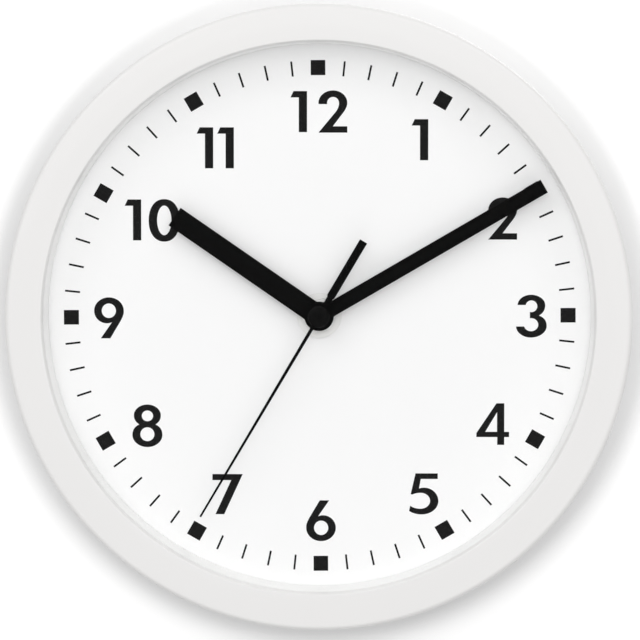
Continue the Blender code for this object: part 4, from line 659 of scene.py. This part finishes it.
# the face rises from the lip by RISE x (1 - (1 - s) ^ 2.2), then falls to the corner by FALL x s ^ 2
s = np.linspace(0, 1, 24) ** 1.5
inner_face = np.stack((lip_radius + INNER_ROUND * s, lip_front + RISE * (1 - (1 - s) ** 2.2)), axis=-1)
s = np.linspace(0, 1, 12)[1:]
crest_radius = lip_radius + INNER_ROUND
outer_face = np.stack((crest_radius + (corner_radius - crest_radius) * s, crest - FALL * s ** 2), axis=-1)
corner = np.array((corner_radius, corner_out)) + CORNER * arc((0, 0), (1, 1), 86, 0, 14)
shell = rounded(
    [
        (bezel_radius, straight_out), (rear_radius, 0.0), (rear_radius - BEZEL_WALL, 0.0),
        (bezel_radius - BEZEL_WALL, straight_out), (bezel_radius - BEZEL_WALL, corner_out),
        (corner_radius - INNER_CORNER, inner_top), (pocket_radius + RIB, inner_top - INNER_FALL),
        (pocket_radius + RIB, rib_end), (pocket_radius, rib_end), (pocket_radius, lip_back),
        (lip_radius, lip_back),
    ],
    np.array((0, 0.5, 0.4, 0, 1.0, 1.0, 0.6, 0.3, 0.3, 0.1, 0.15)) * MM,
)
bezel_profile = closed(np.concatenate((inner_face, outer_face, corner, shell)))
bezel_parts = [net(turned(bezel_profile, 256))]

# each screw's boss: its bore's radius and depth, its radius, its play to the cover and its root in the shell
BORE, BORE_DEPTH, BOSS, BOSS_PLAY, BOSS_SUNK = 1.05 * MM, 9.3 * MM, 2.25 * MM, 0.3 * MM, 0.4 * MM
# its web: half its thickness, and how far it stays within the shell's outside at its rear and its front
HALF_WEB, WEB_REAR, WEB_FRONT = 0.7 * MM, 1.0 * MM, 1.1 * MM
# the back cover's thickness, and how far its screws lie within the shell's wall
COVER, SCREW_INSET = 2.2 * MM, 3.7 * MM
_, cover_back, _ = span("back_cover")
cover_front = cover_back + COVER
boss_back, boss_front = cover_front + BOSS_PLAY, inner_top + BOSS_SUNK
bore_end = boss_back + BORE_DEPTH
boss = closed(np.array([
    (BORE, boss_back), (BOSS, boss_back), (BOSS, boss_front), (0, boss_front), (0, bore_end),
    (BORE, bore_end),
]))
screw_circle = rear_radius - BEZEL_WALL - SCREW_INSET
screw_places = ring_of(screw_circle, 6)
web = np.array([
    (BOSS - OVERLAP, boss_back), (rear_radius - WEB_REAR - screw_circle, boss_back),
    (bezel_radius - WEB_FRONT - screw_circle, straight_out), (BOSS - OVERLAP, straight_out),
])
for place in screw_places:
    radial = place / screw_circle

    def stand_web(along, out, side, radial=radial):
        """The web's drawing stood on edge along the screw's radius: x along it, y out from the wall."""
        reach = screw_circle + along
        return world(reach * radial[0] - side * radial[1], reach * radial[1] + side * radial[0], out)

    bezel_parts += [net(turned(boss, 32, place)), plate([web], -HALF_WEB, HALF_WEB, lay=stand_web)]
make("bezel_ring", bezel_parts, white_abs, "case", "white_plastic", "bezel")


# Back cover
# A flat disc of the same white ABS with a window for the movement, the wall screw's keyhole with its guard, a
# ring in front that holds the dial, and a collar round the window.
def box_outline(left, lower, right, upper, radius):
    """A rectangle with rounded corners."""
    return rounded([(left, lower), (right, lower), (right, upper), (left, upper)], radius, steps=8)


# the radii of the keyhole's seat and its entry, and how far the entry lies below the seat
SEAT, ENTRY, DROP = 2.5 * MM, 4.5 * MM, 11 * MM


def keyhole_outline(margin):
    """The keyhole: most of a circle below, and half a circle round the wall screw's seat above it."""
    seat_radius, entry_radius = SEAT + margin, ENTRY + margin
    meet = math.degrees(math.acos(seat_radius / entry_radius))
    above = arc((0, -AXIS_Z), (seat_radius, seat_radius), 0, 180, 24)
    below = arc((0, -AXIS_Z - DROP), (entry_radius, entry_radius), 180 - meet, 360 + meet, 40)
    return np.concatenate((above, below))


def bevelled(thing, width, segments=3):
    """Round the piece's sharp edges over that width."""
    edge = thing.modifiers.new("edge", "BEVEL")
    edge.width = width
    edge.segments = segments
    edge.limit_method = "ANGLE"
    edge.angle_limit = math.radians(40)
    return thing


rear_low, rear_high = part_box("movement_rear_case")
bay_low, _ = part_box("movement_front_case")
# the window's play round the movement, the collar's gap and thickness, and the two outlines' corners
PLAY, COLLAR_GAP, COLLAR, WINDOW_CORNER, COLLAR_CORNER = 1.0 * MM, 0.5 * MM, 1.4 * MM, 3 * MM, 4.4 * MM
outwards = np.array((-1, -1, 1, 1))
window = np.array((rear_low.x, bay_low.z - AXIS_Z, rear_high.x, rear_high.z - AXIS_Z)) + PLAY * outwards
collar = window + COLLAR_GAP * outwards
collar_outside = collar + COLLAR * outwards
# the cover's gap in the bezel, the ring's inset from the dial's rim, its thickness and its gap to the dial
COVER_GAP, CLAMP_INSET, CLAMP, CLAMP_GAP = 0.5 * MM, 1.8 * MM, 1.6 * MM, 0.3 * MM
clamp_radius = dial_radius - CLAMP_INSET
# the keyhole's guard from its inside to its outside, and the heights of the guard and the collar
GUARD_INSIDE, GUARD_OUTSIDE, GUARD_HEIGHT, COLLAR_HEIGHT = 2.6 * MM, 4.0 * MM, 4 * MM, 5 * MM
SCREW_HOLE, COVER_EDGE = 1.3 * MM, 0.25 * MM
cover_outlines = [
    ring_of(rear_radius - BEZEL_WALL - COVER_GAP, 256), box_outline(*window, WINDOW_CORNER),
    keyhole_outline(0.0),
    *[ring_of(SCREW_HOLE, 32, place) for place in screw_places],
]
# the three ribs that stand on the cover's front, and how far from the wall each ends
ribs = (
    (ring_of(clamp_radius, 256), ring_of(clamp_radius - CLAMP, 256), dial_back - CLAMP_GAP),
    (box_outline(*collar_outside, COLLAR_CORNER), box_outline(*collar, WINDOW_CORNER),
     cover_front + COLLAR_HEIGHT),
    (keyhole_outline(GUARD_OUTSIDE), keyhole_outline(GUARD_INSIDE), cover_front + GUARD_HEIGHT),
)
cover_parts = [plate(cover_outlines, cover_back, cover_front)]
cover_parts += [plate([outside, inside], cover_front - OVERLAP, end) for outside, inside, end in ribs]
cover = make("back_disc", cover_parts, white_abs, "case", "white_plastic", "back_cover")
bevelled(cover, COVER_EDGE, 2)


# Nut and washer on the dial
# A hexagon nut and a flat washer moulded in milky polycarbonate. They are nearly lost on the white dial, and
# show by the grey of their rounded edges, which is partly their own shading and partly painted shade.

# An unpigmented polycarbonate from a polished tool: milky, and glossy enough to catch a light along its edges
polycarbonate, tree, shader = moulded(
    "moulded polycarbonate, milky", "#f6f6f4", 0.16, 0.8 * MM, 0.003 * MM
)
# painted shade: the colour greys towards the edges and sides, where the normal turns away from y, so that they
# stand out on the white dial; the faces' tone counts by the normal's y ^ 6
place = add(tree, "ShaderNodeTexCoord").outputs["Normal"]
facing = add(tree, "ShaderNodeSeparateXYZ", Vector=place).outputs["Y"]
flat = add(tree, "ShaderNodeMath", {"operation": "POWER", "i1": 6.0}, i0=facing)
face_tone = shader.inputs["Base Color"].links[0].from_socket
# the painted edge shade: #a4a4a2 where the normal's y ^ 6 is small
painted_edge_shade = add(
    tree, "ShaderNodeMix", {"data_type": "RGBA", "i6": linear("#a4a4a2")}, i0=flat.outputs["Value"],
    i7=face_tone,
)
tree.links.new(painted_edge_shade.outputs[2], shader.inputs["Base Color"])
# the bore of both, the nut's radius to its corners, their rounding, and how far the nut is turned
NUT_BORE, NUT_RADIUS, NUT_CORNER, NUT_TURN = 4.15 * MM, 7.4 * MM, 0.5 * MM, math.radians(15)
WASHER_EDGE, NUT_EDGE = 0.28 * MM, 0.45 * MM
washer_radius, washer_back, washer_front = span("dial_washer")
nut_bore = ring_of(NUT_BORE, 64)
washer = make(
    "round_washer", [plate([ring_of(washer_radius, 128), nut_bore], washer_back, washer_front)],
    polycarbonate, "case", "milky_plastic", "dial_washer",
)
bevelled(washer, WASHER_EDGE)
_, nut_back, nut_front = span("dial_nut")
hexagon = rounded(ring_of(NUT_RADIUS, 6, start=NUT_TURN), NUT_CORNER, 5)
nut = make(
    "hexagon_nut", [plate([hexagon, nut_bore], nut_back, nut_front)], polycarbonate, "case", "milky_plastic",
    "dial_nut",
)
bevelled(nut, NUT_EDGE)


# Hands
# Blades stamped from thin aluminium and enamelled black, each pressed on its own pipe or arbor by a collar. A
# small moulded cap covers the second hand's boss.

# where they point, in degrees clockwise from twelve
HOUR_ANGLE, MINUTE_ANGLE, SECOND_ANGLE = 304.6, 59.8, 210.6


def aim(outline, degrees):
    """Turn an outline drawn along +y clockwise to where the hand points."""
    angle = math.radians(degrees)
    return outline @ np.array([(math.cos(angle), -math.sin(angle)), (math.sin(angle), math.cos(angle))])


def blade(length, width, hub_radius, fillet):
    """A straight blade with a square end, and its round hub, into which it runs by two fillets.

    A fillet's centre lies hub + fillet from the axis and half the width + fillet from the middle line.
    """
    half = width / 2
    away = half + fillet
    up = math.sqrt((hub_radius + fillet) ** 2 - away ** 2)
    lean = math.degrees(math.atan2(up, away))
    return np.concatenate((
        [(-half, length), (half, length)],
        arc((away, up), (fillet, fillet), 180, 180 + lean, 8),
        arc((0, 0), (hub_radius, hub_radius), lean, -180 - lean, 64)[1:-1],
        arc((-away, up), (fillet, fillet), -lean, 0, 8),
    ))


# Thin satin enamel, smooth, that shows the light along its rounded edges
enamel, _, enamel_shader = moulded(
    "enamelled aluminium, black satin", "#0b0b0b", 0.38, 1.5 * MM, 0.002 * MM, 0.92
)
enamel_shader.inputs["Specular IOR Level"].default_value = 0.03
# the sheet's thickness, the collar's, how far the collar runs into the sheet, and the sheet's rounded edge
HAND, HAND_COLLAR, HAND_OVERLAP, HAND_EDGE = 0.6 * MM, 0.8 * MM, 0.1 * MM, 0.12 * MM
hour_outline = blade(length=71.6 * MM, width=8.7 * MM, hub_radius=6.0 * MM, fillet=0.8 * MM)
minute_outline = blade(length=106.0 * MM, width=6.0 * MM, hub_radius=5.55 * MM, fillet=1.2 * MM)
HOUR_PIPE, MINUTE_PIPE = 2.62 * MM, 1.72 * MM
for name, angle, pipe, outline in (
    ("hour_hand", HOUR_ANGLE, HOUR_PIPE, hour_outline),
    ("minute_hand", MINUTE_ANGLE, MINUTE_PIPE, minute_outline),
):
    _, back, front = span(name)
    hole = ring_of(pipe, 48)
    sheet = plate([aim(outline, angle), hole], front - HAND, front)
    collar = plate([ring_of(pipe + HAND_COLLAR, 48), hole], back, front - HAND + HAND_OVERLAP)
    bevelled(make(name + "_blade", [sheet, collar], enamel, name, "black_paint", name), HAND_EDGE)

# the needle's length and half widths, its boss, and its tail's neck, half width, two shoulders and end
NEEDLE, NEEDLE_ROOT, NEEDLE_TIP, BOSS_RADIUS = 95.2 * MM, 0.7 * MM, 0.4 * MM, 3.6 * MM
NECK, TAIL, NECK_END, TAIL_START, TAIL_END = 1.25 * MM, 1.675 * MM, 9.0 * MM, 9.6 * MM, 35.8 * MM
# its sheet's thickness, its rounded edge, and the radii of its arbor's hole and of the collar round that
NEEDLE_SHEET, NEEDLE_EDGE, ARBOR, ARBOR_COLLAR = 0.4 * MM, 0.08 * MM, 0.62 * MM, 1.3 * MM
_, second_back, second_front = span("second_hand")
needle_foot = math.degrees(math.acos(NEEDLE_ROOT / BOSS_RADIUS))
tail_foot = math.degrees(math.acos(NECK / BOSS_RADIUS))
second_outline = np.concatenate((
    [(-NEEDLE_TIP, NEEDLE), (NEEDLE_TIP, NEEDLE)],
    arc((0, 0), (BOSS_RADIUS, BOSS_RADIUS), needle_foot, -tail_foot, 30),
    [(NECK, -NECK_END), (TAIL, -TAIL_START), (TAIL, -TAIL_END), (-TAIL, -TAIL_END), (-TAIL, -TAIL_START),
     (-NECK, -NECK_END)],
    arc((0, 0), (BOSS_RADIUS, BOSS_RADIUS), 180 + tail_foot, 180 - needle_foot, 30),
))
arbor_hole = ring_of(ARBOR, 32)
needle_back = second_front - NEEDLE_SHEET
needle = make(
    "second_hand_needle",
    [
        plate([aim(second_outline, SECOND_ANGLE), arbor_hole], needle_back, second_front),
        plate([ring_of(ARBOR_COLLAR, 32), arbor_hole], second_back, needle_back + HAND_OVERLAP),
    ],
    enamel, "second_hand", "black_paint", "second_hand",
)
bevelled(needle, NEEDLE_EDGE)

cap_radius, cap_back, cap_front = span("second_hand_cap")
CAP_EDGE, DOME = 0.1 * MM, 1.2 * MM
quarter = np.radians(np.linspace(0, 90, 24))
# the dome's height over its edge is DOME x sin, and its radius the edge's x cos ^ 0.8 of the same angle
dome_radius, dome_foot = cap_radius - CAP_EDGE, cap_front - DOME
dome = np.stack((dome_radius * np.cos(quarter) ** 0.8, dome_foot + DOME * np.sin(quarter)), axis=-1)
cap_profile = np.concatenate((
    [(0, cap_back), (dome_radius, cap_back), (cap_radius, cap_back + CAP_EDGE),
     (cap_radius, dome_foot - CAP_EDGE)],
    dome,
))
# A polished tool gives the cap a gloss that the blades lack
glossy_abs, _, cap_shader = moulded(
    "moulded ABS, black, polished", "#0b0b0b", 0.22, 2 * MM, 0.002 * MM, 0.95
)
cap_shader.inputs["Specular IOR Level"].default_value = 0.06
make(
    "centre_cap", [net(turned(cap_profile, 128))], glossy_abs, "second_hand", "black_paint", "second_hand_cap"
)


# Wall, light and camera
# A white wall close behind the clock, which takes its soft shadow from the lamps, deepened round the clock by
# painted shade. It is seen only from in front, so that the clock's back can be looked at, and lets the light
# through.
HALF_WALL, WALL_GAP = 0.6, 0.4 * MM
wall_mesh = bpy.data.meshes.new("wall")
corners = [(x * HALF_WALL, WALL_GAP, z * HALF_WALL) for x, z in ((-1, -1), (1, -1), (1, 1), (-1, 1))]
wall_mesh.from_pydata(corners, [], [(0, 1, 2, 3)])
wall = bpy.data.objects.new("wall", wall_mesh)
bpy.context.scene.collection.objects.link(wall)
# Emulsion is matt, and no sheen of the lamps shows on it
paint, tree, shader = start_material("emulsion paint, white")
rays = add(tree, "ShaderNodeLightPath")
seen = add(
    tree, "ShaderNodeMath", {"operation": "MAXIMUM"}, i0=rays.outputs["Is Camera Ray"],
    i1=rays.outputs["Is Glossy Ray"],
)
seen = add(
    tree, "ShaderNodeMath", {"operation": "MAXIMUM"}, i0=seen.outputs["Value"],
    i1=rays.outputs["Is Transmission Ray"],
)
geometry = add(tree, "ShaderNodeNewGeometry")
shown = add(
    tree, "ShaderNodeMath", {"operation": "SUBTRACT", "use_clamp": True}, i0=seen.outputs["Value"],
    i1=geometry.outputs["Backfacing"],
)
shader.inputs["Base Color"].default_value = linear("#f3f3f3")
shader.inputs["Roughness"].default_value = 1.0
shader.inputs["Specular IOR Level"].default_value = 0.0
shader.inputs["Emission Color"].default_value = (1.0, 1.0, 1.0, 1.0)
# the backdrop's painted glow brings it to white, and fades within this reach of the clock, which leaves the
# lamps' shadow there and paints more shade round it: the glow grows with the open share of the air round a
# point
PAINTED_SHADE_REACH = 20 * MM
near = add(tree, "ShaderNodeAmbientOcclusion", {"Distance": PAINTED_SHADE_REACH})
painted_glow = add(
    tree, "ShaderNodeMapRange", {"i1": 0.76, "i2": 0.97, "i3": 0.0, "i4": 0.28}, Value=near.outputs["AO"]
)
tree.links.new(painted_glow.outputs["Result"], shader.inputs["Emission Strength"])
clear = add(tree, "ShaderNodeBsdfTransparent")
blend = add(
    tree, "ShaderNodeMixShader", None, i0=shown.outputs["Value"], i1=clear.outputs["BSDF"],
    i2=shader.outputs["BSDF"],
)
tree.links.new(blend.outputs["Shader"], tree.nodes["Material Output"].inputs["Surface"])
wall_mesh.materials.append(paint)

# the room is grey to the clock, and white where the camera sees it
room = bpy.data.worlds.new("soft room")
bpy.context.scene.world = room
room.use_nodes = True
tree = room.node_tree
rays = add(tree, "ShaderNodeLightPath")
strength = add(tree, "ShaderNodeMapRange", {"i3": 0.48, "i4": 1.0}, Value=rays.outputs["Is Camera Ray"])
tree.nodes["Background"].inputs["Color"].default_value = (1.0, 1.0, 1.0, 1.0)
tree.links.new(strength.outputs["Result"], tree.nodes["Background"].inputs["Strength"])

LAMP_SIZE, LAMP_DISTANCE = 1.4, 2.3


def direction(azimuth, elevation):
    """The way from the clock to that azimuth, 0 in front and 90 at the viewer's right, and elevation."""
    turn, rise = math.radians(azimuth), math.radians(elevation)
    return Vector((math.sin(turn) * math.cos(rise), -math.cos(turn) * math.cos(rise), math.sin(rise)))


def lamp(name, azimuth, elevation, power, reflected=True):
    """A square soft box that faces the clock from there."""
    data = bpy.data.lights.new(name, "AREA")
    data.size = LAMP_SIZE
    data.energy = power
    thing = bpy.data.objects.new(name, data)
    way = direction(azimuth, elevation)
    thing.location = Vector((0.0, 0.0, AXIS_Z)) + LAMP_DISTANCE * way
    thing.rotation_euler = (-way).to_track_quat("-Z", "Y").to_euler()
    thing.visible_glossy = reflected
    bpy.context.scene.collection.objects.link(thing)


lamp("soft_box_upper_left", -35, 35, 9.2)
lamp("soft_box_upper_right", 35, 35, 8.2)
# polarised, so that the lens shows no reflection of it
lamp("soft_box_front", 0, 10, 15.6, reflected=False)
lamp("soft_box_below", 0, -40, 3.8)
# behind the wall, for the back
lamp("soft_box_behind", 160, 30, 34.0)

camera_data = bpy.data.cameras.new("camera")
camera = bpy.data.objects.new("camera", camera_data)
bpy.context.scene.collection.objects.link(camera)
bpy.context.scene.camera = camera
camera_data.lens = 276.5
camera_data.sensor_width = 36.0
camera_data.clip_start = 0.05
CAMERA_DISTANCE = 2.0
# it looks at a point just behind the lens, a little right of the hands' axis and below it
target = Vector((0.54 * MM, -36 * MM, AXIS_Z - 1.12 * MM))
camera_way = direction(1.4, 3.8)
camera.location = target + CAMERA_DISTANCE * camera_way
camera.rotation_euler = (-camera_way).to_track_quat("-Z", "Y").to_euler()

bpy.context.scene.view_settings.view_transform = "Standard"
